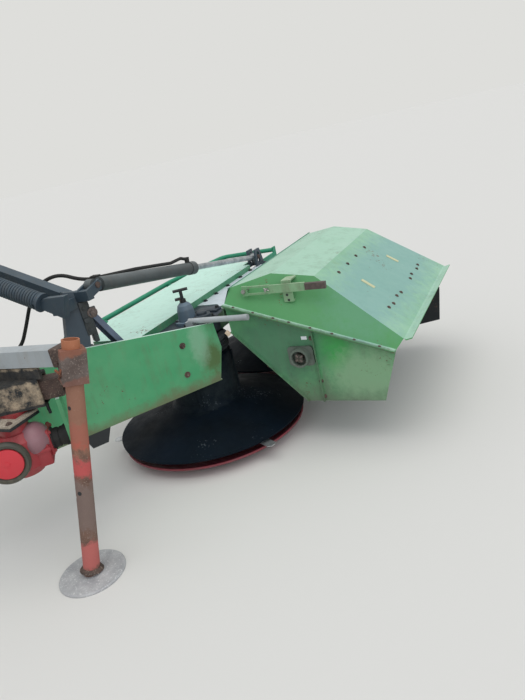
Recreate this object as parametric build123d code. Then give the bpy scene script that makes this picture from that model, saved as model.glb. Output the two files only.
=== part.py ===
from build123d import *
import math
import os

# Rear-mounted two-drum mower with a tine conditioner, parked on its saucers and its stand leg.
# Millimetres. +X is the travel direction, +Y points to the tractor side, +Z is up.
# The modelling origin lies on the ground under the axis of the inner drum.

# Cutting drums
DRUM_SPACING = 950.0
DISC_RADIUS = 464.0
DISC_RIM_TOP = 98.0
DISC_THICK = 8.0
RIM_LAND = 72.0
DRUM_RADIUS = 162.0
DRUM_FOOT = 205.0
DRUM_TOP = 430.0
DRUM_WALL = 8.0
DRUM_NECK_RADIUS = 45.0
DRUM_RIBS = 4
RIB_HEIGHT = 9.0
RIB_WIDTH = 14.0
HUB_RADIUS = 62.0

# Free-spinning saucers below the discs
SAUCER_RADIUS = 453.0
SAUCER_FLAT = 250.0
SAUCER_RIM_TOP = 58.0
SAUCER_THICK = 6.0
BEARING_GAP = 0.3
FIT = 0.08
MOVING_GAP = 5.0

# Blades, three to a disc, swinging on bolts under the rim
BLADE_COUNT = 3
BLADE_TIP = 509.0
BLADE_LENGTH = 116.0
BLADE_WIDTH = 46.0
BLADE_THICK = 4.0
BLADE_TOP = 78.0
BLADE_BOLT_CIRCLE = 420.0
BLADE_BOLT_RADIUS = 11.0
BLADE_HEAD = 6.0

# Gear beam above the drums
BEAM_HALF = 115.0
BEAM_BOTTOM = 500.0
BEAM_TOP = 585.0
BEAM_INNER = 200.0
BEAM_OVERHANG = 150.0
BEAM_CORNER = 18.0
SEAL_RADIUS = 166.0
SEAL_GAP = 6.0
SEAL_RIBS = 4
SEAL_GROOVE = 7.0

# Rod that stands back from the beam beside the housing
REAR_ROD_Y = 122.0
REAR_ROD_Z = 628.0

# Lift hinge along the travel direction, at the inner end of the beam
HINGE_Y = 360.0
HINGE_Z = 600.0
HINGE_TUBE_RADIUS = 30.0
HINGE_PIN_RADIUS = 15.0
HINGE_TUBE_START = 62.0
HINGE_TUBE_LENGTH = 236.0
HINGE_EAR = 24.0
HINGE_EAR_RADIUS = 34.0
HINGE_SIDE_GAP = 1.0
END_PLATE = 14.0

# Front cover over the discs and the tube along its edge
COVER_REAR = 90.0
COVER_FRONT = 490.0
COVER_TOP = 618.0
COVER_INNER = 285.0
COVER_OUTER = -DRUM_SPACING - 50
COVER_CORNER = (345.0, -20.0)
COVER_SLANT = 60.0
COVER_SHEET = 4.0
RAIL_X = 580.0
RAIL_Z = 604.0
RAIL_RADIUS = 14.0
RAIL_INNER = 100.0
RAIL_OVERHANG = 380.0

# Deck sheet from the beam up to the hood
DECK_SHEET = 3.0
DECK_INNER = 60.0
DECK_OUTER = -DRUM_SPACING - 60
DECK_CORNER = (-30.0, -243.0)
DECK_REAR_X = -290.0
DECK_REAR_Z = 742.0

# Conditioner housing, drawn in the travel plane
SIDE_INNER = 80.0
SIDE_SHEET = 4.0
SEAM_FRONT = (-263.0, 679.0)
SEAM_REAR = (-992.0, 428.0)
SIDE_BOTTOM_REAR = (-919.0, 203.0)
SIDE_BOTTOM_FRONT = (-576.0, 203.0)
SIDE_FRONT_LOW = (-267.0, 551.0)
HOOD_FRONT_LOW = (-287.0, 741.0)
RIDGE_FRONT = (-470.0, 772.0)
RIDGE_REAR = (-659.0, 736.0)
HOOD_REAR_LOW = (-1022.0, 465.0)
HOOD_LEAN = 0.6
HOOD_SHEET = 4.0
SEAM_FLANGE = 26.0
LIP_DEPTH = 34.0
BOARD_OUTLINE = ((-984, 338), (-965, 148), (-834, 122), (-834, 250), (-930, 338))
BOARD_THICK = 5.0

# Tine rotor of the conditioner
ROTOR_X = -583.0
ROTOR_Z = 423.0
ROTOR_TUBE_RADIUS = 57.0
TINE_TIP_RADIUS = 232.0
TINE_RADIUS = 8.0
TINE_ROWS = 4
TINES_PER_ROW = 8
ROTOR_END_GAP = 16.0
ROTOR_SHAFT_RADIUS = 17.5
COLLAR_RADIUS = 42.0
COLLAR_BORE = 33.0
COLLAR_LENGTH = 40.0
STUB_END = 36.0

# Arm between the headstock and the lift hinge: a girder behind a green side plate
ARM_END_X = -180.0
ARM_END_Y = 115.0
ARM_ANGLE = 35.0
ARM_LENGTH = 1000.0
ARM_PLATE = 5.0
ARM_PLATE_BOTTOM = 335.0
ARM_PLATE_TOP = 604.0
ARM_PLATE_RISE = 0.157
ARM_END_LEAN = 6.0
ARM_FLANGE = 16.0
GIRDER_START = 450.0
GIRDER_DEPTH = 80.0
GIRDER_BOTTOM = 400.0
GIRDER_TOP = 574.0
GIRDER_WALL = 8.0
ARM_LUG_DROP = 62.0
FORWARD_GIRDER_INSET = 44.0
FORWARD_GIRDER_Z = 510.0
FORWARD_GIRDER_SIZE = 80.0

# Post over the hinge, its struts, the top bar and the relief spring
POST_FOOT_Z = 624.0
POST_HEAD_Z = 915.0
POST_FOOT_ALONG = 575.0
POST_FOOT_DEEP = 41.0
POST_HEAD_ALONG = 506.0
POST_HEAD_DEEP = 55.0
POST_SIZE = 92.0
POST_DEPTH = 54.0
TOP_BAR_SIZE = 50.0
SPRING_RADIUS = 37.0
SPRING_WIRE = 13.0
SPRING_COILS = 20
SPRING_GROOVE = 4.5
SPRING_REAR = (235.0, 600.0, 912.0)
SPRING_LENGTH = 430.0
LINK_SLOPE = 23.0

# Lift cylinder in the travel plane x = CYLINDER_X
CYLINDER_X = 100.0
BARREL_EYE = (CYLINDER_X, 446.0, 919.0)
ROD_EYE = (CYLINDER_X, -DRUM_SPACING - 55, 640.0)
BARREL_RADIUS = 30.0
BARREL_LENGTH = 770.0
ROD_RADIUS = 15.0
EYE_RADIUS = 26.0
EYE_WIDTH = 34.0
EYE_PIN_RADIUS = 12.5
LUG_THICK = 12.0
LUG_SIDE_GAP = 2.0
SLOT_TRAVEL = 17.0
SLOT_GAP = 4.5

# Hydraulic line: a pipe along the barrel, then a hose to a coupler on the headstock
LINE_RADIUS = 8.0
PORT_ALONG = 722.0
PORT_HEIGHT = 58.0
HOSE_START = (150.0, 375.0, 930.0)
HOSE_GAP = 0.3
COUPLER = (950.0, 730.0)
COUPLER_TOP = 790.0

# Headstock for the three-point linkage
TOOLBAR_X = 950.0
TOOLBAR_Z = 640.0
TOOLBAR_SIZE = 100.0
TOOLBAR_OUTER = 440.0
TOOLBAR_INNER = 1790.0
HITCH_CENTRE = 1310.0
HITCH_SPAN = 825.0
HITCH_PIN_RADIUS = 14.0
HITCH_ROOT_RADIUS = 17.0
HITCH_STUB = 90.0
HITCH_CHEEK_GAP = 50.0
HITCH_PIN_X = 1040.0
HITCH_PIN_Z = 560.0
TOP_LINK_X = 998.0
TOP_LINK_Z = 1120.0
TOP_LINK_RADIUS = 12.9
TOP_LINK_GAP = 52.0
MAST_PLATE = 14.0
TOWER_Y = 545.0
TOWER_TOP = 1290.0

# Adjusting tube and box, gearbox
BOX_REAR = (66.0, 868.0, 670.0)
BOX_ANGLE = 62.0
BOX_SIZE = 105.0
BOX_WALL = 8.0
INNER_TUBE_SIZE = 70.0
INNER_TUBE_REACH = 70.0
GEARBOX = (165.0, 975.0, 480.0)
SHAFT_ANGLE = 49.0
GEARBOX_RADIUS = 66.0
GEARBOX_COVER_BACK = 40.0

# Stand: a square tube, its clamp and the sliding leg
STAND_TUBE_Y = 893.0
STAND_TUBE_Z = 800.0
STAND_TUBE_SIZE = 60.0
STAND_TUBE_WALL = 5.0
LEG_FOOT = (-31.0, 1038.0, 10.0)
LEG_HEAD = (-150.0, 888.0, 852.0)
LEG_RADIUS = 30.0
LEG_WALL = 5.0
CLAMP_SIZE = 84.0
CLAMP_LENGTH = 117.0
CLAMP_BELOW_HEAD = 30.0
FOOT_RADIUS = 122.0
FOOT_THICK = 9.0


def unit(vector):
    return vector / vector.length


def line_plane(start, end):
    """A plane at start whose normal runs to end and whose y axis points as far up as it can."""
    direction = unit(Vector(*end) - Vector(*start))
    across = Vector(0, 0, 1).cross(direction)
    if across.length < 1e-6:
        across = Vector(0, 1, 0)
    return Plane(origin=Vector(*start), x_dir=unit(across), z_dir=direction)


def distance(start, end):
    return (Vector(*end) - Vector(*start)).length


def bar(start, end, width, height, wall=0.0):
    section = Rectangle(width, height)
    if wall:
        section -= Rectangle(width - 2 * wall, height - 2 * wall)
    return extrude(line_plane(start, end) * section, amount=distance(start, end))


def rod(start, end, radius, bore=0.0):
    section = Circle(radius)
    if bore:
        section -= Circle(bore)
    return extrude(line_plane(start, end) * section, amount=distance(start, end))


def polygon_rod(start, end, radius, sides=6):
    return extrude(line_plane(start, end) * RegularPolygon(radius, sides), amount=distance(start, end))


def travel_sheet(points, y_high, thickness):
    """A flat sheet drawn in x and z, from y_high towards -Y."""
    plane = Plane(origin=(0, y_high, 0), x_dir=(1, 0, 0), z_dir=(0, -1, 0))
    return extrude(plane * make_face(Polyline(*points, close=True)), amount=thickness)


def cross_sheet(points, x_low, thickness):
    """A flat sheet drawn in y and z, from x_low towards +X."""
    plane = Plane(origin=(x_low, 0, 0), x_dir=(0, 1, 0), z_dir=(1, 0, 0))
    return extrude(plane * make_face(Polyline(*points, close=True)), amount=thickness)


def flat_slab(points, z_low, thickness):
    return extrude(Pos(0, 0, z_low) * make_face(Polyline(*points, close=True)), amount=thickness)


def block(x_low, x_high, y_low, y_high, z_low, z_high):
    size = Box(x_high - x_low, y_high - y_low, z_high - z_low)
    return Pos((x_low + x_high) / 2, (y_low + y_high) / 2, (z_low + z_high) / 2) * size


def turned(points, y=0.0):
    """A solid of revolution about the drum axis at the given y, from a profile in r and z."""
    face = make_face(Polyline(*[(r, 0, z) for r, z in points], close=True))
    return Pos(0, y, 0) * revolve(face, Axis.Z)


def ribbed_column(radius, groove, ribs, height, sides):
    """A column along z from the origin, pinched by the depth of a groove between its ribs."""
    half_step = height / ribs / 2
    lean = math.degrees(math.atan(groove / half_step))
    half_rib = extrude(RegularPolygon(radius, sides), amount=half_step, taper=lean)
    halves = []
    for index in range(ribs):
        middle = Pos(0, 0, (2 * index + 1) * half_step)
        halves += [middle * half_rib, middle * Rot(180, 0, 0) * half_rib]
    return halves[0].fuse(*halves[1:])


def joined(first, *others):
    for other in others:
        first = first + other
    return first


def group(*solids):
    return Compound(children=[piece for solid in solids for piece in solid.solids()])


def arm_point(along, deep=0.0, z=0.0):
    """A point beside the arm plate: along it from its outer end, deep behind its face."""
    angle = math.radians(ARM_ANGLE)
    x = ARM_END_X + along * math.sin(angle) + deep * math.cos(angle)
    y = ARM_END_Y + along * math.cos(angle) - deep * math.sin(angle)
    return (x, y, z)


def seam_height(x):
    slope = (SEAM_FRONT[1] - SEAM_REAR[1]) / (SEAM_FRONT[0] - SEAM_REAR[0])
    return SEAM_FRONT[1] + slope * (x - SEAM_FRONT[0])


# Sizes that follow from the ones above

POST_FOOT = arm_point(POST_FOOT_ALONG, POST_FOOT_DEEP, POST_FOOT_Z)
POST_HEAD = arm_point(POST_HEAD_ALONG, POST_HEAD_DEEP, POST_HEAD_Z)
BLADE_BOTTOM = BLADE_TOP - BLADE_THICK
DISC_UNDERSIDE = DISC_RIM_TOP - DISC_THICK
SAUCER_HUB_TOP = SAUCER_RIM_TOP + 4
SIDE_OUTER = -DRUM_SPACING - SIDE_INNER
BEAM_OUTER = -DRUM_SPACING - BEAM_OVERHANG


# Drums

def saucer(y):
    rise = SAUCER_RIM_TOP
    mid = (SAUCER_FLAT + 0.73 * (SAUCER_RADIUS - SAUCER_FLAT), 0.36 * rise)
    profile = [
        (0, 0),
        (SAUCER_FLAT, 0),
        mid,
        (SAUCER_RADIUS, 0.84 * rise),
        (SAUCER_RADIUS, rise),
        (SAUCER_RADIUS - SAUCER_THICK, rise),
        (mid[0] - 4, mid[1] + SAUCER_THICK),
        (SAUCER_FLAT - 2, SAUCER_THICK),
        (HUB_RADIUS, SAUCER_THICK),
        (HUB_RADIUS, SAUCER_HUB_TOP),
        (0, SAUCER_HUB_TOP),
    ]
    return turned(profile, y)


def drum(y, turn):
    hub_bottom = SAUCER_HUB_TOP + BEARING_GAP
    rim_inner = DISC_RADIUS - RIM_LAND
    profile = [
        (0, hub_bottom),
        (HUB_RADIUS, hub_bottom),
        (HUB_RADIUS, DRUM_FOOT - 18),
        (DRUM_RADIUS - DRUM_WALL, DRUM_FOOT - 18),
        (rim_inner - 4, DISC_UNDERSIDE),
        (DISC_RADIUS, DISC_UNDERSIDE),
        (DISC_RADIUS, DISC_RIM_TOP),
        (DRUM_RADIUS + 20, DRUM_FOOT - 12),
        (DRUM_RADIUS, DRUM_FOOT + 8),
        (DRUM_RADIUS, DRUM_TOP - 14),
        (DRUM_RADIUS - 14, DRUM_TOP),
        (DRUM_NECK_RADIUS, DRUM_TOP),
        (DRUM_NECK_RADIUS, BEAM_BOTTOM - BEARING_GAP),
        (0, BEAM_BOTTOM - BEARING_GAP),
    ]
    body = turned(profile)
    rib_bottom = DRUM_FOOT + 2
    rib = block(DRUM_RADIUS - 6, DRUM_RADIUS + RIB_HEIGHT, -RIB_WIDTH / 2, RIB_WIDTH / 2, rib_bottom, DRUM_TOP - 18)
    for index in range(DRUM_RIBS):
        body = body + Rot(0, 0, turn + index * 360 / DRUM_RIBS) * rib
    return Pos(0, y, 0) * body


def blades(y, turn):
    root = BLADE_TIP - BLADE_LENGTH
    outline = Pos((root + BLADE_TIP) / 2, 0) * Rectangle(BLADE_LENGTH, BLADE_WIDTH)
    blade = extrude(Pos(0, 0, BLADE_BOTTOM) * outline, amount=BLADE_THICK)
    tip_edges = blade.edges().filter_by(Axis.Z).sort_by(Axis.X)[-2:]
    blade = chamfer(tip_edges, BLADE_WIDTH * 0.28)
    spacer = polygon_rod((0, 0, BLADE_BOTTOM), (0, 0, DISC_UNDERSIDE), BLADE_BOLT_RADIUS)
    head = polygon_rod((0, 0, BLADE_BOTTOM - BLADE_HEAD), (0, 0, BLADE_BOTTOM), BLADE_BOLT_RADIUS * 1.6)
    piece = blade + Pos(BLADE_BOLT_CIRCLE, 0, 0) * (spacer + head)
    ring = [Rot(0, 0, turn + index * 360 / BLADE_COUNT) * piece for index in range(BLADE_COUNT)]
    return Pos(0, y, 0) * group(*ring)


def drum_seal(y):
    """Ribbed rubber ring between the drum and the beam."""
    low = DRUM_TOP + SEAL_GAP
    height = BEAM_BOTTOM - low
    body = ribbed_column(SEAL_RADIUS, SEAL_GROOVE, SEAL_RIBS, height, 48)
    bore = Pos(0, 0, height / 2) * Cylinder(DRUM_NECK_RADIUS + 70, height + 10)
    return Pos(0, y, low) * (body - bore)


# Gear beam, covers and deck

def gear_beam():
    beam = block(-BEAM_HALF, BEAM_HALF, BEAM_OUTER, BEAM_INNER - END_PLATE, BEAM_BOTTOM, BEAM_TOP)
    beam = fillet(beam.edges().filter_by(Axis.Y), BEAM_CORNER)
    ear_gap = HINGE_SIDE_GAP
    rear_ear = HINGE_TUBE_START - ear_gap - HINGE_EAR
    front_ear = HINGE_TUBE_START + HINGE_TUBE_LENGTH + ear_gap
    plate_start = -BEAM_HALF + BEAM_CORNER
    plate = block(plate_start, front_ear + HINGE_EAR, BEAM_INNER - END_PLATE, BEAM_INNER, BEAM_BOTTOM, BEAM_TOP)
    body = beam + plate
    outline = [
        (BEAM_INNER, BEAM_BOTTOM),
        (HINGE_Y, HINGE_Z - HINGE_EAR_RADIUS),
        (HINGE_Y, HINGE_Z + HINGE_EAR_RADIUS),
        (COVER_INNER + 8, BEAM_TOP),
        (BEAM_INNER, BEAM_TOP),
    ]
    for x in (rear_ear, front_ear):
        ear = cross_sheet(outline, x, HINGE_EAR)
        eye = rod((x, HINGE_Y, HINGE_Z), (x + HINGE_EAR, HINGE_Y, HINGE_Z), HINGE_EAR_RADIUS)
        body = body + ear + eye
    bore = rod((rear_ear - 5, HINGE_Y, HINGE_Z), (front_ear + HINGE_EAR + 5, HINGE_Y, HINGE_Z), HINGE_PIN_RADIUS + FIT)
    return body - bore - beside_arm()


def beside_arm():
    """The space beside the arm plate that the beam's rear corner keeps out of as it swings."""
    clear = ARM_FLANGE + 2 * MOVING_GAP
    outline = [arm_point(-150, clear)[:2], arm_point(200, clear)[:2], arm_point(200, -300)[:2], arm_point(-150, -300)[:2]]
    return flat_slab(outline, BEAM_BOTTOM - 10, BEAM_TOP - BEAM_BOTTOM + 20)


def front_cover():
    """Sheet box, open below, with a notch under the rod of the lift cylinder."""
    notch_x = CYLINDER_X + EYE_WIDTH / 2 + LUG_SIDE_GAP + LUG_THICK + MOVING_GAP
    notch_y = COVER_OUTER + 95
    outline = [
        (COVER_REAR, COVER_INNER),
        (COVER_CORNER[0], COVER_INNER),
        (COVER_FRONT, COVER_CORNER[1]),
        (COVER_FRONT, COVER_OUTER + COVER_SLANT),
        (COVER_FRONT - COVER_SLANT, COVER_OUTER),
        (notch_x, COVER_OUTER),
        (notch_x, notch_y),
        (COVER_REAR, notch_y),
    ]
    face = make_face(Polyline(*outline, close=True))
    shell = extrude(Pos(0, 0, BEAM_TOP) * face, amount=COVER_TOP - BEAM_TOP)
    inner = offset(face, amount=-COVER_SHEET, kind=Kind.INTERSECTION)
    hollow = extrude(Pos(0, 0, BEAM_TOP) * inner, amount=COVER_TOP - BEAM_TOP - COVER_SHEET)
    return shell - hollow


def cover_brackets():
    """Arms from the beam, under the cover and out to the rail."""
    arms = []
    for y in (-60, -DRUM_SPACING + 250):
        points = [
            (BEAM_HALF, BEAM_BOTTOM + 20),
            (RAIL_X, BEAM_TOP - 20),
            (RAIL_X, RAIL_Z),
            (RAIL_X - 25, RAIL_Z),
            (COVER_FRONT - 30, BEAM_TOP - 10),
            (COVER_FRONT - 30, COVER_TOP - COVER_SHEET),
            (BEAM_HALF, COVER_TOP - COVER_SHEET),
        ]
        arms.append(travel_sheet(points, y, 10))
    return group(*arms) - guard_rail()


def guard_rail():
    """Tube along the cover's front edge and around over the outer disc."""
    points = [
        (RAIL_X, RAIL_INNER, RAIL_Z),
        (RAIL_X, -DRUM_SPACING + 210, RAIL_Z),
        (RAIL_X - 100, -DRUM_SPACING - RAIL_OVERHANG + 40, RAIL_Z),
        (BEAM_HALF, -DRUM_SPACING - RAIL_OVERHANG, RAIL_Z),
    ]
    path = FilletPolyline(*points, radius=60)
    return sweep(Plane(origin=path @ 0, z_dir=path % 0) * Circle(RAIL_RADIUS), path=path)


def rail_bracket():
    """Sheet from the outer end of the beam to the rail's rear end."""
    tip = -DRUM_SPACING - RAIL_OVERHANG - RAIL_RADIUS - 6
    low = RAIL_Z - RAIL_RADIUS
    points = [
        (BEAM_OUTER, BEAM_BOTTOM + 10),
        (BEAM_OUTER, BEAM_TOP),
        (BEAM_OUTER - 30, low),
        (tip, low),
        (tip, low - 40),
    ]
    sheet = cross_sheet(points, BEAM_HALF - 8, 8)
    tab = block(BEAM_HALF - 8, BEAM_HALF, tip, tip + 2 * RAIL_RADIUS + 12, low, RAIL_Z + RAIL_RADIUS + 6)
    return sheet + tab - guard_rail()


def deck_sheet():
    points = [
        (COVER_REAR, BEAM_TOP),
        (-BEAM_HALF, BEAM_TOP),
        (DECK_REAR_X, DECK_REAR_Z),
        (DECK_REAR_X, DECK_REAR_Z + DECK_SHEET * 1.4),
        (-BEAM_HALF - 1, BEAM_TOP + DECK_SHEET),
        (COVER_REAR, BEAM_TOP + DECK_SHEET),
    ]
    opening = [
        (COVER_REAR + 50, DECK_CORNER[1]),
        DECK_CORNER,
        (DECK_REAR_X, DECK_INNER),
        (DECK_REAR_X, DECK_INNER + 50),
        (COVER_REAR + 50, DECK_INNER + 50),
    ]
    sheet = travel_sheet(points, DECK_INNER, DECK_INNER - DECK_OUTER) - hood_prism()
    return sheet - flat_slab(opening, BEAM_TOP - 10, DECK_REAR_Z - BEAM_TOP + 50)


# Height adjuster on the inner drum

BELL_BASE = BEAM_TOP
BELL_FLANGE = 13.0
BELL_RADIUS = 43.0
BELL_TOP = 684.0
SCREW_TOP = 744.0


def bell_housing():
    profile = [
        (0, BELL_BASE),
        (BELL_RADIUS + 19, BELL_BASE),
        (BELL_RADIUS + 19, BELL_BASE + BELL_FLANGE),
        (BELL_RADIUS, BELL_BASE + BELL_FLANGE),
        (BELL_RADIUS - 4, BELL_TOP - 34),
        (BELL_RADIUS - 11, BELL_TOP - 13),
        (BELL_RADIUS - 25, BELL_TOP),
        (0, BELL_TOP),
    ]
    return turned(profile)


def height_screw():
    stem = rod((0, 0, BELL_TOP), (0, 0, SCREW_TOP), 8)
    collar = rod((0, 0, BELL_TOP), (0, 0, BELL_TOP + 16), 15)
    side_lug = rod((0, 0, BELL_TOP + 20), (28, 20, BELL_TOP + 20), 7)
    handle = rod((-29, -20, SCREW_TOP), (29, 20, SCREW_TOP), 7)
    return joined(stem, collar, side_lug, handle)


# Conditioner housing

def side_panel(inner):
    points = [SEAM_FRONT, SEAM_REAR, SIDE_BOTTOM_REAR, SIDE_BOTTOM_FRONT, SIDE_FRONT_LOW]
    y_face = SIDE_INNER if inner else SIDE_OUTER
    outward = 1 if inner else -1
    y_high = y_face if inner else y_face + SIDE_SHEET
    panel = travel_sheet(points, y_high, SIDE_SHEET)
    flange_y = max(y_face, y_face + outward * SEAM_FLANGE)
    flange_low = [
        (SEAM_FRONT[0], SEAM_FRONT[1] - SIDE_SHEET),
        (SEAM_REAR[0], SEAM_REAR[1] - SIDE_SHEET),
        SEAM_REAR,
        SEAM_FRONT,
    ]
    panel = panel + travel_sheet(flange_low, flange_y, SEAM_FLANGE)
    lip_high = max(y_face, y_face + outward * 12)
    edge = Vector(*SIDE_BOTTOM_FRONT) - Vector(*SIDE_FRONT_LOW)
    normal = unit(Vector(-edge.Y, edge.X)) * SIDE_SHEET
    lip = [
        SIDE_FRONT_LOW,
        SIDE_BOTTOM_FRONT,
        (SIDE_BOTTOM_FRONT[0] - normal.X, SIDE_BOTTOM_FRONT[1] - normal.Y),
        (SIDE_FRONT_LOW[0] - normal.X, SIDE_FRONT_LOW[1] - normal.Y),
    ]
    panel = panel + travel_sheet(lip, lip_high, 12)
    rib_x = -650.0
    rib_top = seam_height(rib_x) - SIDE_SHEET
    rib_y = (y_face, y_face + outward * 14)
    panel = panel + block(rib_x - 3, rib_x + 3, min(rib_y), max(rib_y), SIDE_BOTTOM_REAR[1], rib_top)
    shaft_hole = rod((ROTOR_X, y_face - 40, ROTOR_Z), (ROTOR_X, y_face + 40, ROTOR_Z), COLLAR_BORE)
    return panel - shaft_hole


def hood_prism():
    """The hood's profile, run past both ends."""
    outline = [SEAM_FRONT, HOOD_FRONT_LOW, RIDGE_FRONT, RIDGE_REAR, HOOD_REAR_LOW, SEAM_REAR]
    return travel_sheet(outline, SIDE_INNER + 100, DRUM_SPACING + 2 * SIDE_INNER + 200)


def hood_body():
    """The hood as a filled solid with its leaning ends."""
    body = hood_prism()
    slope = (SEAM_FRONT[1] - SEAM_REAR[1]) / (SEAM_FRONT[0] - SEAM_REAR[0])
    for side, y in ((1, SIDE_INNER), (-1, SIDE_OUTER)):
        normal = Vector(-HOOD_LEAN * slope, side, HOOD_LEAN)
        cut = Plane(origin=(SEAM_FRONT[0], y, SEAM_FRONT[1]), z_dir=normal)
        body = split(body, bisect_by=cut, keep=Keep.BOTTOM)
    return body.solids()[0]


def hood():
    solid = hood_body()
    slope = (SEAM_FRONT[1] - SEAM_REAR[1]) / (SEAM_FRONT[0] - SEAM_REAR[0])
    seam_normal = unit(Vector(slope, 0, -1))
    bottom = sorted(solid.faces(), key=lambda face: face.center().dot(seam_normal))[-1]
    shell = offset(solid, amount=-HOOD_SHEET, openings=[bottom])
    flange = [
        SEAM_FRONT,
        SEAM_REAR,
        (SEAM_REAR[0], SEAM_REAR[1] + HOOD_SHEET),
        (SEAM_FRONT[0], SEAM_FRONT[1] + HOOD_SHEET),
    ]
    shell = shell + travel_sheet(flange, SIDE_INNER + SEAM_FLANGE, SEAM_FLANGE + 2)
    shell = shell + travel_sheet(flange, SIDE_OUTER + 2, SEAM_FLANGE + 2)
    return shell


def rear_lip():
    x, z = HOOD_REAR_LOW
    drop = HOOD_LEAN * (z - seam_height(x))
    points = [(x, z), (x - 8, z - 9), (x - LIP_DEPTH, z - 2), (x - LIP_DEPTH, z + 3), (x - 8, z - 4)]
    return travel_sheet(points, SIDE_INNER - drop, DRUM_SPACING + 2 * (SIDE_INNER - drop))


def housing_frame():
    """Cross tube behind the beam with the plates that carry the conditioner."""
    inner = SIDE_INNER - SIDE_SHEET
    outer = SIDE_OUTER + SIDE_SHEET
    tube = bar((-272, outer, 634), (-272, inner, 634), 54, 54, 5)
    rear_tube = rod((-930, outer, 400), (-930, inner, 400), 21, 17)
    plates = []
    for y in (-90, -DRUM_SPACING + 90):
        outline = [(-BEAM_HALF, BEAM_BOTTOM + 6), (-BEAM_HALF, BEAM_TOP - 4), (-245, 655), (-245, 607)]
        plates.append(travel_sheet(outline, y, 14))
    return group(joined(tube, *plates), rear_tube)


def rotor():
    inner = SIDE_INNER - SIDE_SHEET - ROTOR_END_GAP
    outer = SIDE_OUTER + SIDE_SHEET + ROTOR_END_GAP
    body = polygon_rod((0, outer, 0), (0, inner, 0), ROTOR_TUBE_RADIUS, 16)
    body = body + rod((0, SIDE_OUTER - STUB_END, 0), (0, SIDE_INNER + STUB_END, 0), ROTOR_SHAFT_RADIUS)
    pitch = (inner - outer - 110) / (TINES_PER_ROW - 1 + 0.5)
    for row in range(TINE_ROWS):
        stagger = (row % 2) * pitch / 2
        for index in range(TINES_PER_ROW):
            y = outer + 55 + stagger + index * pitch
            tine = polygon_rod((0, y, ROTOR_TUBE_RADIUS - 10), (0, y, TINE_TIP_RADIUS - 4), TINE_RADIUS)
            body = body + Rot(0, 20 + row * 360 / TINE_ROWS, 0) * tine
    return Pos(ROTOR_X, 0, ROTOR_Z) * body


def rotor_bearing(inner):
    y_face = SIDE_INNER if inner else SIDE_OUTER
    outward = 1 if inner else -1
    base_end = y_face + outward * 12
    collar_end = y_face + outward * COLLAR_LENGTH
    plate = block(ROTOR_X - 58, ROTOR_X + 58, min(y_face, base_end), max(y_face, base_end), ROTOR_Z - 44, ROTOR_Z + 44)
    plate = fillet(plate.edges().filter_by(Axis.Y), 16)
    collar = rod((ROTOR_X, y_face, ROTOR_Z), (ROTOR_X, collar_end, ROTOR_Z), COLLAR_RADIUS)
    pocket = rod((ROTOR_X, base_end, ROTOR_Z), (ROTOR_X, collar_end + outward * 5, ROTOR_Z), COLLAR_BORE)
    bore_start = y_face - outward * 10
    bore = rod((ROTOR_X, bore_start, ROTOR_Z), (ROTOR_X, collar_end, ROTOR_Z), ROTOR_SHAFT_RADIUS + FIT)
    return plate + collar - pocket - bore


# Lever on the inner end of the hood

LEVER_START = (-367.0, 64.0, 726.0)
LEVER_END = (-733.0, 40.0, 715.0)
LEVER_LINK_SHARE = 0.36
LEVER_GRIP_SHARE = 0.76
LEVER_PIVOT_RADIUS = 9.0
QUADRANT_X = -560.0


def hood_end_y(x, z):
    return SIDE_INNER - HOOD_LEAN * (z - seam_height(x))


def lever_point(share, rise=0.0):
    point = Vector(*LEVER_START) + (Vector(*LEVER_END) - Vector(*LEVER_START)) * share
    return (point.X, point.Y, point.Z + rise)


def hood_lever():
    link_end = LEVER_LINK_SHARE - 0.03
    upper = bar(lever_point(0, 16), lever_point(link_end, 16), 8, 8)
    lower = bar(lever_point(0, -16), lever_point(link_end, -16), 8, 8)
    flat = bar(lever_point(LEVER_LINK_SHARE - 0.04), lever_point(LEVER_GRIP_SHARE), 8, 36)
    end_plate = bar(lever_point(-0.02), lever_point(0.045), 8, 44)
    x, y, z = LEVER_START
    pivot_hole = rod((x, y - 60, z), (x, y + 60, z), LEVER_PIVOT_RADIUS + FIT)
    return joined(flat, upper, lower, end_plate) - pivot_hole


def lever_grip():
    return bar(lever_point(LEVER_GRIP_SHARE), lever_point(1), 20, 28)


def lever_pivot():
    x, y, z = LEVER_START
    return rod((x, hood_end_y(x, z) - 30, z), (x, y + 12, z), LEVER_PIVOT_RADIUS) - hood_body()


def lever_quadrant():
    x = QUADRANT_X
    share = (x - LEVER_START[0]) / (LEVER_END[0] - LEVER_START[0])
    y = lever_point(share)[1] - 10
    z = lever_point(share)[2] + 24
    plate = block(x - 22, x + 22, y - 3, y + 3, z - 88, z + 6)
    foot = block(x - 22, x + 22, hood_end_y(x, z - 84) - 8, y + 3, z - 88, z - 82)
    top = block(x - 22, x + 22, hood_end_y(x, z) - 8, y + 3, z, z + 6)
    return joined(plate, foot, top) - hood_body()


# Arm, hinge and post

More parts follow.
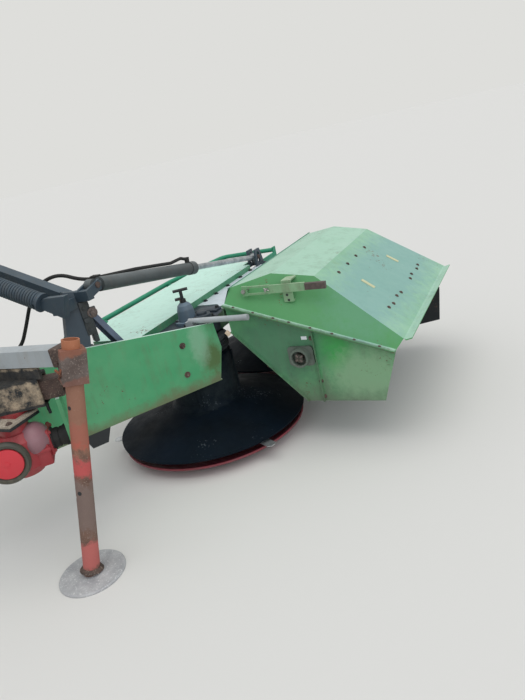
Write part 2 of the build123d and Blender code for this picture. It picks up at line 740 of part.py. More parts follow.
def arm_side_plate():
    top_inner = ARM_PLATE_TOP + ARM_PLATE_RISE * ARM_LENGTH
    start = arm_point(0, 0, ARM_PLATE_BOTTOM)
    plane = Plane(origin=start, x_dir=unit(Vector(*arm_point(1)) - Vector(*arm_point(0))), z_dir=unit(Vector(*arm_point(0, 1)) - Vector(*arm_point(0))))
    height = ARM_PLATE_TOP - ARM_PLATE_BOTTOM
    inner_height = top_inner - ARM_PLATE_BOTTOM
    sign = 1 if plane.y_dir.Z > 0 else -1
    outline = [
        (ARM_END_LEAN, 0),
        (ARM_LENGTH, 0),
        (ARM_LENGTH, sign * inner_height),
        (-4 * ARM_END_LEAN, sign * height),
        (-6 * ARM_END_LEAN, sign * (height - 120)),
    ]
    sheet = extrude(plane * make_face(Polyline(*outline, close=True)), amount=ARM_PLATE)
    top = bar(arm_point(0, ARM_FLANGE / 2, ARM_PLATE_TOP), arm_point(ARM_LENGTH, ARM_FLANGE / 2, top_inner), ARM_FLANGE, ARM_PLATE)
    bottom = bar(arm_point(0, ARM_FLANGE / 2, ARM_PLATE_BOTTOM), arm_point(ARM_LENGTH, ARM_FLANGE / 2, ARM_PLATE_BOTTOM), ARM_FLANGE, ARM_PLATE)
    return joined(sheet, top, bottom)


def arm_girder():
    middle = (GIRDER_BOTTOM + GIRDER_TOP) / 2
    deep = ARM_PLATE + GIRDER_DEPTH / 2
    height = GIRDER_TOP - GIRDER_BOTTOM
    return bar(arm_point(GIRDER_START, deep, middle), arm_point(ARM_LENGTH - 40, deep, middle), GIRDER_DEPTH, height, GIRDER_WALL)


def arm_lug():
    """Tapered steel lug under the bottom flange of the arm plate."""
    origin = arm_point(0, 2, ARM_PLATE_BOTTOM - ARM_PLATE / 2)
    along = unit(Vector(*arm_point(1)) - Vector(*arm_point(0)))
    deep = unit(Vector(*arm_point(0, 1)) - Vector(*arm_point(0)))
    plane = Plane(origin=origin, x_dir=along, z_dir=deep)
    down = -1 if plane.y_dir.Z > 0 else 1
    outline = [(545, 0), (665, 0), (640, down * ARM_LUG_DROP), (572, down * ARM_LUG_DROP)]
    return extrude(plane * make_face(Polyline(*outline, close=True)), amount=12)


def forward_girder():
    """Square tube from the inner end of the arm girder to the toolbar."""
    arm_end = arm_point(ARM_LENGTH)
    y = arm_end[1] - FORWARD_GIRDER_INSET
    start = (arm_end[0] - 14, y, FORWARD_GIRDER_Z)
    end = (TOOLBAR_X, y, TOOLBAR_Z)
    tube = bar(start, end, FORWARD_GIRDER_SIZE, FORWARD_GIRDER_SIZE, GIRDER_WALL)
    middle = (GIRDER_BOTTOM + GIRDER_TOP) / 2
    height = GIRDER_TOP - GIRDER_BOTTOM
    deep = ARM_PLATE + GIRDER_DEPTH / 2 - 150
    arm_space = bar(arm_point(0, deep, middle), arm_point(ARM_LENGTH - 40, deep, middle), GIRDER_DEPTH + 300, height + 200)
    plate_deep = ARM_PLATE - 150
    plate_space = bar(arm_point(0, plate_deep, middle), arm_point(ARM_LENGTH, plate_deep, middle), 300, height + 200)
    toolbar_space = block(TOOLBAR_X - TOOLBAR_SIZE / 2, TOOLBAR_X + 300, 400, 1500, 300, 900)
    body = tube - arm_space - plate_space - toolbar_space
    return sorted(body.solids(), key=lambda solid: solid.volume)[-1]


def hinge_bracket():
    """The hinge tube and the plate that carries it on the girder."""
    tube_end = HINGE_TUBE_START + HINGE_TUBE_LENGTH
    near = arm_point(GIRDER_START, ARM_PLATE + 2)
    far = arm_point(GIRDER_START + 260, ARM_PLATE + 2)
    far_deep = arm_point(GIRDER_START + 260, ARM_PLATE + GIRDER_DEPTH)
    outline = [
        (HINGE_TUBE_START, HINGE_Y),
        (tube_end, HINGE_Y),
        (max(tube_end, far_deep[0]), HINGE_Y + 90),
        (far_deep[0], far_deep[1]),
        (far[0], far[1]),
        (near[0], near[1]),
        (HINGE_TUBE_START, HINGE_Y + 60),
    ]
    plate = flat_slab(outline, GIRDER_TOP, POST_FOOT[2] - GIRDER_TOP)
    tube = rod((HINGE_TUBE_START, HINGE_Y, HINGE_Z), (tube_end, HINGE_Y, HINGE_Z), HINGE_TUBE_RADIUS)
    bore = rod((HINGE_TUBE_START - 5, HINGE_Y, HINGE_Z), (tube_end + 5, HINGE_Y, HINGE_Z), HINGE_PIN_RADIUS)
    return plate + tube - bore


def hinge_pin():
    start = HINGE_TUBE_START - HINGE_SIDE_GAP - HINGE_EAR - 8
    end = HINGE_TUBE_START + HINGE_TUBE_LENGTH + HINGE_SIDE_GAP + HINGE_EAR + 8
    return rod((start, HINGE_Y, HINGE_Z), (end, HINGE_Y, HINGE_Z), HINGE_PIN_RADIUS)


def post():
    low = tuple(Vector(*POST_FOOT) + (Vector(*POST_FOOT) - Vector(*POST_HEAD)) * 0.1)
    across = Vector(*arm_point(0, 1)) - Vector(*arm_point(0))
    plane = Plane(origin=low, x_dir=across, z_dir=line_plane(low, POST_HEAD).z_dir)
    shaft = extrude(plane * Rectangle(POST_DEPTH, POST_SIZE), amount=distance(low, POST_HEAD))
    eye_y, eye_z = BARREL_EYE[1], BARREL_EYE[2]
    cheek_inner = EYE_WIDTH / 2 + LUG_SIDE_GAP
    outline = [
        (eye_y - 20, eye_z - 22),
        (eye_y - 20, eye_z + 20),
        (POST_HEAD[1] + 20, eye_z - 4),
        (POST_HEAD[1] + 20, eye_z - 44),
    ]
    body = shaft
    for x in (CYLINDER_X - cheek_inner - LUG_THICK, CYLINDER_X + cheek_inner):
        body = body + cross_sheet(outline, x, LUG_THICK)
    web = block(CYLINDER_X - cheek_inner - LUG_THICK, POST_HEAD[0], POST_HEAD[1] - 14, POST_HEAD[1] + 20, eye_z - 44, eye_z - 4)
    body = body + web
    pin_hole = rod((CYLINDER_X - 60, eye_y, eye_z), (CYLINDER_X + 60, eye_y, eye_z), EYE_PIN_RADIUS)
    keep_clear = rod((CYLINDER_X - cheek_inner, eye_y, eye_z), (CYLINDER_X + cheek_inner, eye_y, eye_z), EYE_RADIUS + 6)
    return body - below_bracket() - pin_hole - keep_clear


def cylinder_pins():
    half = EYE_WIDTH / 2 + LUG_SIDE_GAP + LUG_THICK + 5
    pins = []
    for eye in (BARREL_EYE, ROD_EYE):
        pins.append(rod((eye[0] - half, eye[1], eye[2]), (eye[0] + half, eye[1], eye[2]), EYE_PIN_RADIUS))
    return pins


def below_bracket():
    """The space up to the top of the hinge bracket."""
    return block(-400, 700, 0, 1200, POST_FOOT_Z - 200, POST_FOOT_Z)


def post_strut():
    """Flat channel brace from the outer side of the post down to the hinge bracket."""
    head = (125, 486, 822)
    foot = (HINGE_TUBE_START + 32, HINGE_Y + 14, POST_FOOT_Z - 8)
    across = unit(Vector(0, 0, 1).cross(Vector(*head) - Vector(*foot)))
    body = bar(foot, head, 50, 8)
    for side in (-22, 22):
        shift = across * side
        body = body + bar(tuple(Vector(*foot) + shift), tuple(Vector(*head) + shift), 6, 24)
    return body - below_bracket() - post() - hinge_bracket()


# Lift cylinder

def cylinder_direction():
    return unit(Vector(*ROD_EYE) - Vector(*BARREL_EYE))


def along_cylinder(length):
    return tuple(Vector(*BARREL_EYE) + cylinder_direction() * length)


def barrel():
    eye = rod((CYLINDER_X - EYE_WIDTH / 2, BARREL_EYE[1], BARREL_EYE[2]), (CYLINDER_X + EYE_WIDTH / 2, BARREL_EYE[1], BARREL_EYE[2]), EYE_RADIUS)
    neck = rod(along_cylinder(10), along_cylinder(50), 18)
    tube = rod(along_cylinder(46), along_cylinder(BARREL_LENGTH), BARREL_RADIUS)
    gland = rod(along_cylinder(BARREL_LENGTH - 46), along_cylinder(BARREL_LENGTH), BARREL_RADIUS + 4)
    hole = rod((CYLINDER_X - 40, BARREL_EYE[1], BARREL_EYE[2]), (CYLINDER_X + 40, BARREL_EYE[1], BARREL_EYE[2]), EYE_PIN_RADIUS + FIT)
    bore = rod(along_cylinder(BARREL_LENGTH - 620), along_cylinder(BARREL_LENGTH + 5), ROD_RADIUS + FIT)
    return joined(eye, neck, tube, gland) - hole - bore


def piston_rod():
    full = distance(BARREL_EYE, ROD_EYE)
    shaft = rod(along_cylinder(BARREL_LENGTH - 120), along_cylinder(full - 20), ROD_RADIUS)
    eye = rod((CYLINDER_X - EYE_WIDTH / 2, ROD_EYE[1], ROD_EYE[2]), (CYLINDER_X + EYE_WIDTH / 2, ROD_EYE[1], ROD_EYE[2]), EYE_RADIUS)
    hole = rod((CYLINDER_X - 40, ROD_EYE[1], ROD_EYE[2]), (CYLINDER_X + 40, ROD_EYE[1], ROD_EYE[2]), EYE_PIN_RADIUS)
    return shaft + eye - hole


def rod_bracket():
    """Slotted cheeks on the outer end of the beam for the pin of the rod's eye."""
    inner = EYE_WIDTH / 2 + LUG_SIDE_GAP
    y, z = ROD_EYE[1], ROD_EYE[2]
    outer_y = y - 62
    base_top = BEAM_TOP + DECK_SHEET + 7
    cheek_low = BEAM_TOP + DECK_SHEET
    outline = [(outer_y, cheek_low), (y + 40, cheek_low), (y + 30, z + SLOT_TRAVEL + 32), (y - 30, z + SLOT_TRAVEL + 32)]
    half = inner + LUG_THICK + 4
    body = block(CYLINDER_X - half, CYLINDER_X + half, outer_y, DECK_OUTER - 2, BEAM_TOP, base_top)
    for x in (CYLINDER_X - inner - LUG_THICK, CYLINDER_X + inner):
        body = body + cross_sheet(outline, x, LUG_THICK)
    slot_radius = EYE_PIN_RADIUS + SLOT_GAP
    start = CYLINDER_X - half - 5
    end = CYLINDER_X + half + 5
    for rise in (-SLOT_TRAVEL, SLOT_TRAVEL):
        body = body - rod((start, y, z + rise), (end, y, z + rise), slot_radius)
    slot = block(start, end, y - slot_radius, y + slot_radius, z - SLOT_TRAVEL, z + SLOT_TRAVEL)
    return body - slot


# Hydraulic line

def over_cylinder(along, rise, side=0.0):
    """A point beside the barrel: along it from its eye, rise above its axis, side towards +X."""
    direction = cylinder_direction()
    above = Vector(0, direction.Z, -direction.Y)
    point = Vector(*along_cylinder(along)) + above * rise + Vector(side, 0, 0)
    return (point.X, point.Y, point.Z)


def hydraulic_pipe():
    """Pipe from the port near the rod's end of the barrel to an elbow block near its eye."""
    block_half = 13.0
    start = over_cylinder(PORT_ALONG, PORT_HEIGHT - 12)
    points = [
        start,
        over_cylinder(PORT_ALONG - 55, PORT_HEIGHT - 2),
        over_cylinder(PORT_ALONG - 145, BARREL_RADIUS + LINE_RADIUS + 2),
        over_cylinder(320, BARREL_RADIUS + LINE_RADIUS, 14),
        (HOSE_START[0] - block_half, HOSE_START[1] - block_half + 4, HOSE_START[2]),
    ]
    path = FilletPolyline(*points, radius=60)
    line = sweep(Plane(origin=path @ 0, z_dir=path % 0) * RegularPolygon(LINE_RADIUS, 8), path=path)
    port = rod(over_cylinder(PORT_ALONG, 20), over_cylinder(PORT_ALONG, PORT_HEIGHT), 12)
    x, y, z = HOSE_START
    elbow = block(CYLINDER_X + 12, x - HOSE_GAP, y - block_half, y + block_half, z - 20, z + block_half)
    body = joined(line, port, elbow) - rod(along_cylinder(40), along_cylinder(BARREL_LENGTH), BARREL_RADIUS)
    return body - rod(along_cylinder(BARREL_LENGTH - 46), along_cylinder(BARREL_LENGTH), BARREL_RADIUS + 4)


HOSE_ROUTE = (
    HOSE_START,
    (210, 375, 930),
    (300, 400, 975),
    (385, 440, 950),
    (450, 460, 880),
    (500, 480, 780),
    (560, 500, 680),
    (660, 560, 660),
    (728, 630, 735),
    (744, 680, 845),
    (750, 697, 942),
    (807, 705, 1000),
    (889, 716, 1000),
    (947, 726, 942),
    (950, 730, 860),
    (COUPLER[0], COUPLER[1], COUPLER_TOP),
)


def corner_radius(before, corner, after):
    """The bend radius that uses 45 hundredths of the shorter run beside a corner."""
    first = Vector(*corner) - Vector(*before)
    second = Vector(*after) - Vector(*corner)
    half_turn = math.radians(first.get_angle(second)) / 2
    return 0.45 * min(first.length, second.length) / math.tan(half_turn)


def hydraulic_hose():
    """Hose held by the barrel's elbow and by the coupler, arched over the hinge."""
    corners = zip(HOSE_ROUTE, HOSE_ROUTE[1:], HOSE_ROUTE[2:])
    path = FilletPolyline(*HOSE_ROUTE, radius=[corner_radius(*corner) for corner in corners])
    return sweep(Plane(origin=path @ 0, z_dir=path % 0) * RegularPolygon(LINE_RADIUS, 8), path=path)


def hose_coupler():
    """Coupler in its holder on top of the toolbar."""
    x, y = COUPLER
    top = TOOLBAR_Z + TOOLBAR_SIZE / 2
    foot = block(x - 24, x + 24, y - 24, y + 24, top, top + 10)
    socket = rod((x, y, top), (x, y, COUPLER_TOP - 30), 17)
    nut = polygon_rod((x, y, COUPLER_TOP - 30), (x, y, COUPLER_TOP), 15)
    return joined(foot, socket, nut)


# Top bar and relief spring

def forward_up(start, length, slope=LINK_SLOPE):
    angle = math.radians(slope)
    return (start[0] + length * math.cos(angle), start[1], start[2] + length * math.sin(angle))


TOP_BAR_START = (POST_HEAD[0] + 10, POST_HEAD[1], POST_HEAD[2] - 36)
TOP_BAR_LENGTH = (TOOLBAR_X - 50 - TOP_BAR_START[0]) / math.cos(math.radians(LINK_SLOPE))


def top_bar():
    end = forward_up(TOP_BAR_START, TOP_BAR_LENGTH)
    return bar(TOP_BAR_START, end, TOP_BAR_SIZE, TOP_BAR_SIZE, 5) - post()


def spring_coil():
    """The closed outer form of the coil, grooved between its turns."""
    body = ribbed_column(SPRING_RADIUS, SPRING_GROOVE, SPRING_COILS, SPRING_LENGTH, 16)
    body = body - Pos(0, 0, SPRING_LENGTH / 2) * Cylinder(SPRING_RADIUS - SPRING_WIRE, SPRING_LENGTH + 10)
    return line_plane(SPRING_REAR, forward_up(SPRING_REAR, 10)) * body


def spring_rod():
    """Rod through the spring, its two seats and the plate that ties it to the post."""
    rear = forward_up(SPRING_REAR, -10)
    front = forward_up(SPRING_REAR, (TOOLBAR_X - 50 - SPRING_REAR[0]) / math.cos(math.radians(LINK_SLOPE)))
    stem = rod(rear, front, 14)
    rear_seat = rod(rear, SPRING_REAR, SPRING_RADIUS + 2)
    front_seat = rod(forward_up(SPRING_REAR, SPRING_LENGTH), forward_up(SPRING_REAR, SPRING_LENGTH + 10), SPRING_RADIUS + 2)
    return joined(stem, rear_seat, front_seat)


def spring_plate():
    """Plate on the inner side of the post that holds the rear end of the spring rod."""
    y_low = SPRING_REAR[1] - 14
    x, z = SPRING_REAR[0], SPRING_REAR[2]
    points = [(x - 110, z - 74), (x - 140, z + 16), (x - 30, z + 15), (x + 20, z - 15)]
    plate = travel_sheet(points, y_low + 28, 28)
    tie = block(x - 105, x - 55, POST_HEAD[1] + 26, y_low + 28, z - 58, z - 14)
    seat = rod(forward_up(SPRING_REAR, -10), forward_up(SPRING_REAR, 400), SPRING_RADIUS + 2)
    body = joined(plate, tie) - seat - post()
    return sorted(body.solids(), key=lambda solid: solid.volume)[-1]


# Headstock

def headstock_frame():
    half = TOOLBAR_SIZE / 2
    toolbar_start = (TOOLBAR_X, TOOLBAR_OUTER, TOOLBAR_Z)
    toolbar_end = (TOOLBAR_X, TOOLBAR_INNER, TOOLBAR_Z)
    body = bar(toolbar_start, toolbar_end, TOOLBAR_SIZE, TOOLBAR_SIZE, 8)
    top = TOOLBAR_Z + half
    ear_outer = TOP_LINK_GAP / 2 + MAST_PLATE
    between = block(TOOLBAR_X - 200, TOOLBAR_X + 200, HITCH_CENTRE - ear_outer, HITCH_CENTRE + ear_outer, top + 50, TOP_LINK_Z + 100)
    for side in (-1, 1):
        foot = (TOOLBAR_X, HITCH_CENTRE + side * 260, top - 2)
        head = (TOOLBAR_X, HITCH_CENTRE + side * (ear_outer + 14), TOP_LINK_Z - 30)
        body = body + (bar(foot, head, 60, 40) - between)
        y_inner = HITCH_CENTRE + side * TOP_LINK_GAP / 2
        y_outer = HITCH_CENTRE + side * ear_outer
        outline = [
            (TOOLBAR_X - 32, TOP_LINK_Z - 190),
            (TOOLBAR_X + 24, TOP_LINK_Z - 190),
            (TOOLBAR_X + 80, TOP_LINK_Z - 24),
            (TOOLBAR_X + 80, TOP_LINK_Z + 24),
            (TOOLBAR_X + 24, TOP_LINK_Z + 34),
            (TOOLBAR_X - 32, TOP_LINK_Z + 10),
        ]
        body = body + travel_sheet(outline, max(y_inner, y_outer), MAST_PLATE)
    spacer_x = TOOLBAR_X - 20
    spacer_z = TOP_LINK_Z - 130
    gap_half = TOP_LINK_GAP / 2
    body = body + block(spacer_x, spacer_x + 24, HITCH_CENTRE - gap_half, HITCH_CENTRE + gap_half, spacer_z, spacer_z + 60)
    for side in (-1, 1):
        stub_root = HITCH_CENTRE + side * (HITCH_SPAN / 2 - HITCH_STUB / 2)
        for inward in (MAST_PLATE / 2, MAST_PLATE * 1.5 + HITCH_CHEEK_GAP):
            y = stub_root - side * inward
            outline = [
                (TOOLBAR_X - 40, TOOLBAR_Z - half),
                (TOOLBAR_X + half, TOOLBAR_Z - half),
                (TOOLBAR_X + half, TOOLBAR_Z + 30),
                (HITCH_PIN_X + 34, HITCH_PIN_Z + 22),
                (HITCH_PIN_X + 34, HITCH_PIN_Z - 30),
                (HITCH_PIN_X - 20, HITCH_PIN_Z - 44),
                (TOOLBAR_X - 40, HITCH_PIN_Z - 10),
            ]
            body = body + travel_sheet(outline, y + MAST_PLATE / 2, MAST_PLATE)
    uprights = [
        bar((TOOLBAR_X, TOP_BAR_START[1], top - 2), (TOOLBAR_X, TOP_BAR_START[1], TOWER_TOP), 50, 80),
        bar((TOOLBAR_X, SPRING_REAR[1], top - 2), (TOOLBAR_X, SPRING_REAR[1], TOWER_TOP), 50, 80),
        bar((TOOLBAR_X, STAND_TUBE_Y, top - 2), (TOOLBAR_X, STAND_TUBE_Y, STAND_TUBE_Z + 60), 60, 60),
    ]
    cap = block(TOOLBAR_X - 50, TOOLBAR_X + 50, TOP_BAR_START[1] - 35, SPRING_REAR[1] + 35, TOWER_TOP, TOWER_TOP + 12)
    brace_start = (TOOLBAR_X, SPRING_REAR[1] + 10, TOWER_TOP - 60)
    brace_end = (TOOLBAR_X, HITCH_CENTRE - ear_outer - 60, TOP_LINK_Z - 200)
    body = joined(body, *uprights, cap, bar(brace_start, brace_end, 40, 40))
    top_link_y = TOP_LINK_GAP + MAST_PLATE
    top_link = rod((TOP_LINK_X, HITCH_CENTRE - top_link_y, TOP_LINK_Z), (TOP_LINK_X, HITCH_CENTRE + top_link_y, TOP_LINK_Z), TOP_LINK_RADIUS)
    return body - hitch_pins() - top_link


def hitch_pin(side):
    """A lower pin: its thick root sits in the two cheeks, and its free end stands out sideways."""
    y_middle = HITCH_CENTRE + side * HITCH_SPAN / 2
    shoulder = (HITCH_PIN_X, y_middle - side * HITCH_STUB / 2, HITCH_PIN_Z)
    root_length = 2 * MAST_PLATE + HITCH_CHEEK_GAP + 8
    root = rod((HITCH_PIN_X, shoulder[1] - side * root_length, HITCH_PIN_Z), shoulder, HITCH_ROOT_RADIUS)
    stub = rod(shoulder, (HITCH_PIN_X, y_middle + side * HITCH_STUB / 2, HITCH_PIN_Z), HITCH_PIN_RADIUS)
    return root + stub


def hitch_pins():
    return group(hitch_pin(-1), hitch_pin(1))


# Adjusting box with its inner tube, gearbox and drive

def box_point(along, z=0.0, side=0.0):
    """A point on the adjusting box: along it from its rear end, side towards the camera's side."""
    angle = math.radians(BOX_ANGLE)
    x = BOX_REAR[0] + along * math.sin(angle) - side * math.cos(angle)
    y = BOX_REAR[1] + along * math.cos(angle) + side * math.sin(angle)
    return (x, y, BOX_REAR[2] + z)


def adjuster_box():
    length = (TOOLBAR_X - TOOLBAR_SIZE / 2 - BOX_REAR[0]) / math.sin(math.radians(BOX_ANGLE))
    tube = bar(box_point(0), box_point(length + 60), BOX_SIZE, BOX_SIZE, BOX_WALL)
    front = TOOLBAR_X - TOOLBAR_SIZE / 2
    tube = tube - block(front, front + 300, 1000, 1700, 400, 900)
    top = BOX_REAR[2] + BOX_SIZE / 2
    flat = block(15, 290, 905, 915, top, top + 42)
    return tube + flat


def inner_tube():
    return bar(box_point(-INNER_TUBE_REACH), box_point(420), INNER_TUBE_SIZE, INNER_TUBE_SIZE, 6)


def shaft_point(along, z=0.0):
    angle = math.radians(SHAFT_ANGLE)
    return (GEARBOX[0] - along * math.sin(angle), GEARBOX[1] - along * math.cos(angle), GEARBOX[2] + z)


def cover_point(along):
    """A point on the cover's axis, which crosses the shaft's axis behind the gearbox's middle."""
    angle = math.radians(SHAFT_ANGLE)
    x, y, z = shaft_point(-GEARBOX_COVER_BACK)
    return (x - along * math.cos(angle), y + along * math.sin(angle), z)


def gearbox():
    profile = [(0, -92), (56, -92), (84, -58), (84, 46), (60, 74), (0, 74)]
    core = Pos(GEARBOX[0], GEARBOX[1], GEARBOX[2]) * turned(profile)
    through = rod(shaft_point(-92), shaft_point(92), 52)
    cover = rod(cover_point(0), cover_point(92), GEARBOX_RADIUS)
    cover_rim = rod(cover_point(80), cover_point(90), GEARBOX_RADIUS + 8)
    dome = rod(cover_point(90), cover_point(106), 40)
    flange_top = 600.0
    neck = rod((GEARBOX[0], GEARBOX[1], GEARBOX[2] + 40), (GEARBOX[0], GEARBOX[1], flange_top), 52)
    flange = block(GEARBOX[0] - 62, GEARBOX[0] + 82, GEARBOX[1] - 72, GEARBOX[1] + 62, flange_top - 14, flange_top)
    body = joined(core, through, cover, cover_rim, dome, neck, flange)
    box_bottom = BOX_REAR[2] - BOX_SIZE / 2
    hanger = block(GEARBOX[0] - 40, GEARBOX[0] + 60, GEARBOX[1] - 60, GEARBOX[1] + 10, flange_top, box_bottom)
    bore = rod(shaft_point(-20), shaft_point(-120), 20 + FIT)
    return body + hanger - bore


def input_stub():
    shaft = rod(shaft_point(-30), shaft_point(-150), 20)
    splined = rod(shaft_point(-150), shaft_point(-215), 17.5)
    return shaft + splined


def output_coupling():
    start = 92.0
    shaft = rod(shaft_point(start), shaft_point(start + 95), 20)
    flange_a = rod(shaft_point(start + 8), shaft_point(start + 24), 44)
    sleeve = rod(shaft_point(start + 24), shaft_point(start + 66), 33)
    flange_b = rod(shaft_point(start + 66), shaft_point(start + 78), 40)
    return joined(shaft, flange_a, sleeve, flange_b)


def drive_bracket():
    """Bearing plate that hangs from the inner tube and holds the end of the output shaft."""
    low = -64.0
    high = BOX_REAR[2] - INNER_TUBE_SIZE / 2 - GEARBOX[2]
    start = 172.0
    plate = bar(shaft_point(start, (low + high) / 2), shaft_point(start + 14, (low + high) / 2), 92, high - low)
    return plate - rod(shaft_point(start - 5), shaft_point(start + 20), 20)


# Stand

def stand_tube():
    rear = (LEG_HEAD[0], STAND_TUBE_Y, STAND_TUBE_Z)
    front = (TOOLBAR_X - 30, STAND_TUBE_Y, STAND_TUBE_Z)
    socket = bar(leg_point(CLAMP_BELOW_HEAD + CLAMP_LENGTH), leg_point(-40), CLAMP_SIZE, CLAMP_SIZE)
    beyond = block(LEG_HEAD[0] - 20, LEG_HEAD[0] + 4, STAND_TUBE_Y - 90, STAND_TUBE_Y + 90, 600, 1000)
    return bar(rear, front, STAND_TUBE_SIZE, STAND_TUBE_SIZE, STAND_TUBE_WALL) - socket - beyond


def leg_point(below_head):
    direction = unit(Vector(*LEG_FOOT) - Vector(*LEG_HEAD))
    return tuple(Vector(*LEG_HEAD) + direction * below_head)


def leg_clamp():
    square = bar(leg_point(CLAMP_BELOW_HEAD + CLAMP_LENGTH), leg_point(CLAMP_BELOW_HEAD), CLAMP_SIZE, CLAMP_SIZE)
    return square - rod(leg_point(-60), leg_point(400), LEG_RADIUS + FIT)


def stand_leg():
    tube = rod(leg_point(0), leg_point(900), LEG_RADIUS, LEG_RADIUS - LEG_WALL)
    ground = block(-400, 400, 800, 1300, -200, FOOT_THICK)
    holes = []
    for below in (470, 560):
        centre = Vector(*leg_point(below))
        holes.append(rod(tuple(centre - Vector(46, 52, 0)), tuple(centre + Vector(46, 52, 0)), 8))
    body = tube - ground
    for hole in holes:
        body = body - hole
    return body


def stand_foot():
    centre = (LEG_FOOT[0], LEG_FOOT[1])
    disc = rod((*centre, 0), (*centre, FOOT_THICK), FOOT_RADIUS)
    edge = disc.edges().sort_by(Axis.Z)[-1]
    return chamfer(edge, 4)


# Small pieces

def swath_board():
    """Dark board inside the outer side panel, reaching below and behind it."""
    return travel_sheet(BOARD_OUTLINE, SIDE_OUTER + SIDE_SHEET + BOARD_THICK, BOARD_THICK)


def rear_rod():
    start = (-BEAM_HALF + 25, REAR_ROD_Y, REAR_ROD_Z)
    end = (-390, REAR_ROD_Y, REAR_ROD_Z)
    foot = block(-BEAM_HALF + 4, -BEAM_HALF + 40, REAR_ROD_Y - 14, REAR_ROD_Y + 14, BEAM_TOP, REAR_ROD_Z)
    tip = rod((end[0] + 22, REAR_ROD_Y, REAR_ROD_Z), end, 14)
    return joined(rod(start, end, 13), foot, tip)


def build_parts():
    add("headstock_frame", headstock_frame())
    add("hitch_pins", hitch_pins())
    add("stand_tube", stand_tube())
    add("leg_clamp", leg_clamp())
    add("adjuster_box", adjuster_box())
    add("inner_tube", inner_tube())
    add("gearbox", gearbox())
    add("input_stub", input_stub())
    add("output_coupling", output_coupling())
    add("drive_bracket", drive_bracket())
    add("arm_side_plate", arm_side_plate())
    add("arm_girder", arm_girder())
    add("arm_lug", arm_lug())
    add("forward_girder", forward_girder())
    add("hinge_bracket", hinge_bracket())
    add("post", post())
    add("post_strut", post_strut())
    add("top_bar", top_bar())
    add("relief_spring", spring_coil())
    add("spring_rod", spring_rod())
    add("spring_plate", spring_plate())
    pins = cylinder_pins()
    add("hinge_pin", hinge_pin())
    add("barrel_pin", pins[0])
    add("stand_leg", stand_leg())
    add("stand_foot", stand_foot())
    add("gear_beam", gear_beam())
    add("drum_seals", group(drum_seal(0), drum_seal(-DRUM_SPACING)))
    add("front_cover", front_cover())
    add("cover_brackets", cover_brackets())
    add("guard_rail", guard_rail())
    add("rail_bracket", rail_bracket())
    add("deck_sheet", deck_sheet())
    add("bell_housing", bell_housing())
    add("height_screw", height_screw())
    add("side_panels", group(side_panel(True), side_panel(False)))
    add("hood", hood())
    add("rear_lip", rear_lip())
    add("swath_board", swath_board())
    add("housing_frame", housing_frame())
    add("rotor_bearings", group(rotor_bearing(True), rotor_bearing(False)))
    add("hood_lever", hood_lever())
    add("lever_grip", lever_grip())
    add("lever_pivot", lever_pivot())
    add("lever_quadrant", lever_quadrant())
    add("rod_bracket", rod_bracket())
    add("rear_rod", rear_rod())
    add("drum_inner", drum(0, 20))
    add("drum_outer", drum(-DRUM_SPACING, 65))
    add("blades_inner", blades(0, 30))
    add("blades_outer", blades(-DRUM_SPACING, 30))
    add("saucer_inner", saucer(0))
    add("saucer_outer", saucer(-DRUM_SPACING))
    add("conditioner_rotor", rotor())
    add("cylinder_barrel", barrel())
    add("cylinder_rod", piston_rod())
    add("rod_pin", pins[1])
    add("hydraulic_pipe", hydraulic_pipe())
    add("hydraulic_hose", hydraulic_hose())
    add("hose_coupler", hose_coupler())


def write_parts():
    build_parts()
    boxes = [solid.bounding_box() for name in PARTS if name != "hydraulic_hose" for solid in PARTS[name].solids()]
    x_mid = (min(box.min.X for box in boxes) + max(box.max.X for box in boxes)) / 2
    y_mid = (min(box.min.Y for box in boxes) + max(box.max.Y for box in boxes)) / 2
    z_low = min(box.min.Z for box in boxes)
    shift = Pos(-x_mid, -y_mid, -z_low)
    os.makedirs("parts", exist_ok=True)
    print("shift", round(-x_mid, 3), round(-y_mid, 3), round(-z_low, 3))
    for name, shape in PARTS.items():
        solids = [shift * solid for solid in shape.solids()]
        volume = round(sum(solid.volume for solid in solids) / 1000)
        print(name, len(solids), volume, "cm3")
        export_step(Compound(children=solids), "parts/" + name + ".step")


PARTS = {}


def add(name, shape):
    PARTS[name] = shape


write_parts()
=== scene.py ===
import math

import bmesh
import bpy
from mathutils import Matrix, Vector


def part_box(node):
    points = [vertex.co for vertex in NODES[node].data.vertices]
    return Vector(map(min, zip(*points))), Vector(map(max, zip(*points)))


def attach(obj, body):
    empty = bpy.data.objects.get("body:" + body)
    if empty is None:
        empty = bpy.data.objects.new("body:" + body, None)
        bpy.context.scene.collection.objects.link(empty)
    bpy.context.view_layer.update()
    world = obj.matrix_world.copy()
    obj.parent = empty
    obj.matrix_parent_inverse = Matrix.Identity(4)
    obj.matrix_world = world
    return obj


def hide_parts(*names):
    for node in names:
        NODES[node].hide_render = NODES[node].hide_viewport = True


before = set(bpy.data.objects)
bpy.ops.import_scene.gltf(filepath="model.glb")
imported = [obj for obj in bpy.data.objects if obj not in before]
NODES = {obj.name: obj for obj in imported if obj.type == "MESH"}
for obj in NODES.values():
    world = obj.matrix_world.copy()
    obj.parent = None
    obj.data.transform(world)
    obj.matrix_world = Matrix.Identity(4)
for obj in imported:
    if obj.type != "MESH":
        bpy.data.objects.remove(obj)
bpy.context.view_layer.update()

# The machine's own frame has its origin on the ground under the inner drum, in millimetres.
# Its axes are the row frame's: x forward, y to the tractor's side, z up.
low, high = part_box("saucer_inner")
ORIGIN = Vector(((low[0] + high[0]) / 2, (low[1] + high[1]) / 2, 0.0))
# Sizes and places are written in millimetres where nothing else is said
MILLIMETRE = 0.001
UP = Vector((0, 0, 1))
TO_TRACTOR = Vector((0, 1, 0))
STRAIGHT = Matrix.Identity(4)


def at(x, y, z):
    """A point of the machine's own frame, in millimetres, in the row frame in metres."""
    return ORIGIN + Vector((x, y, z)) / 1000


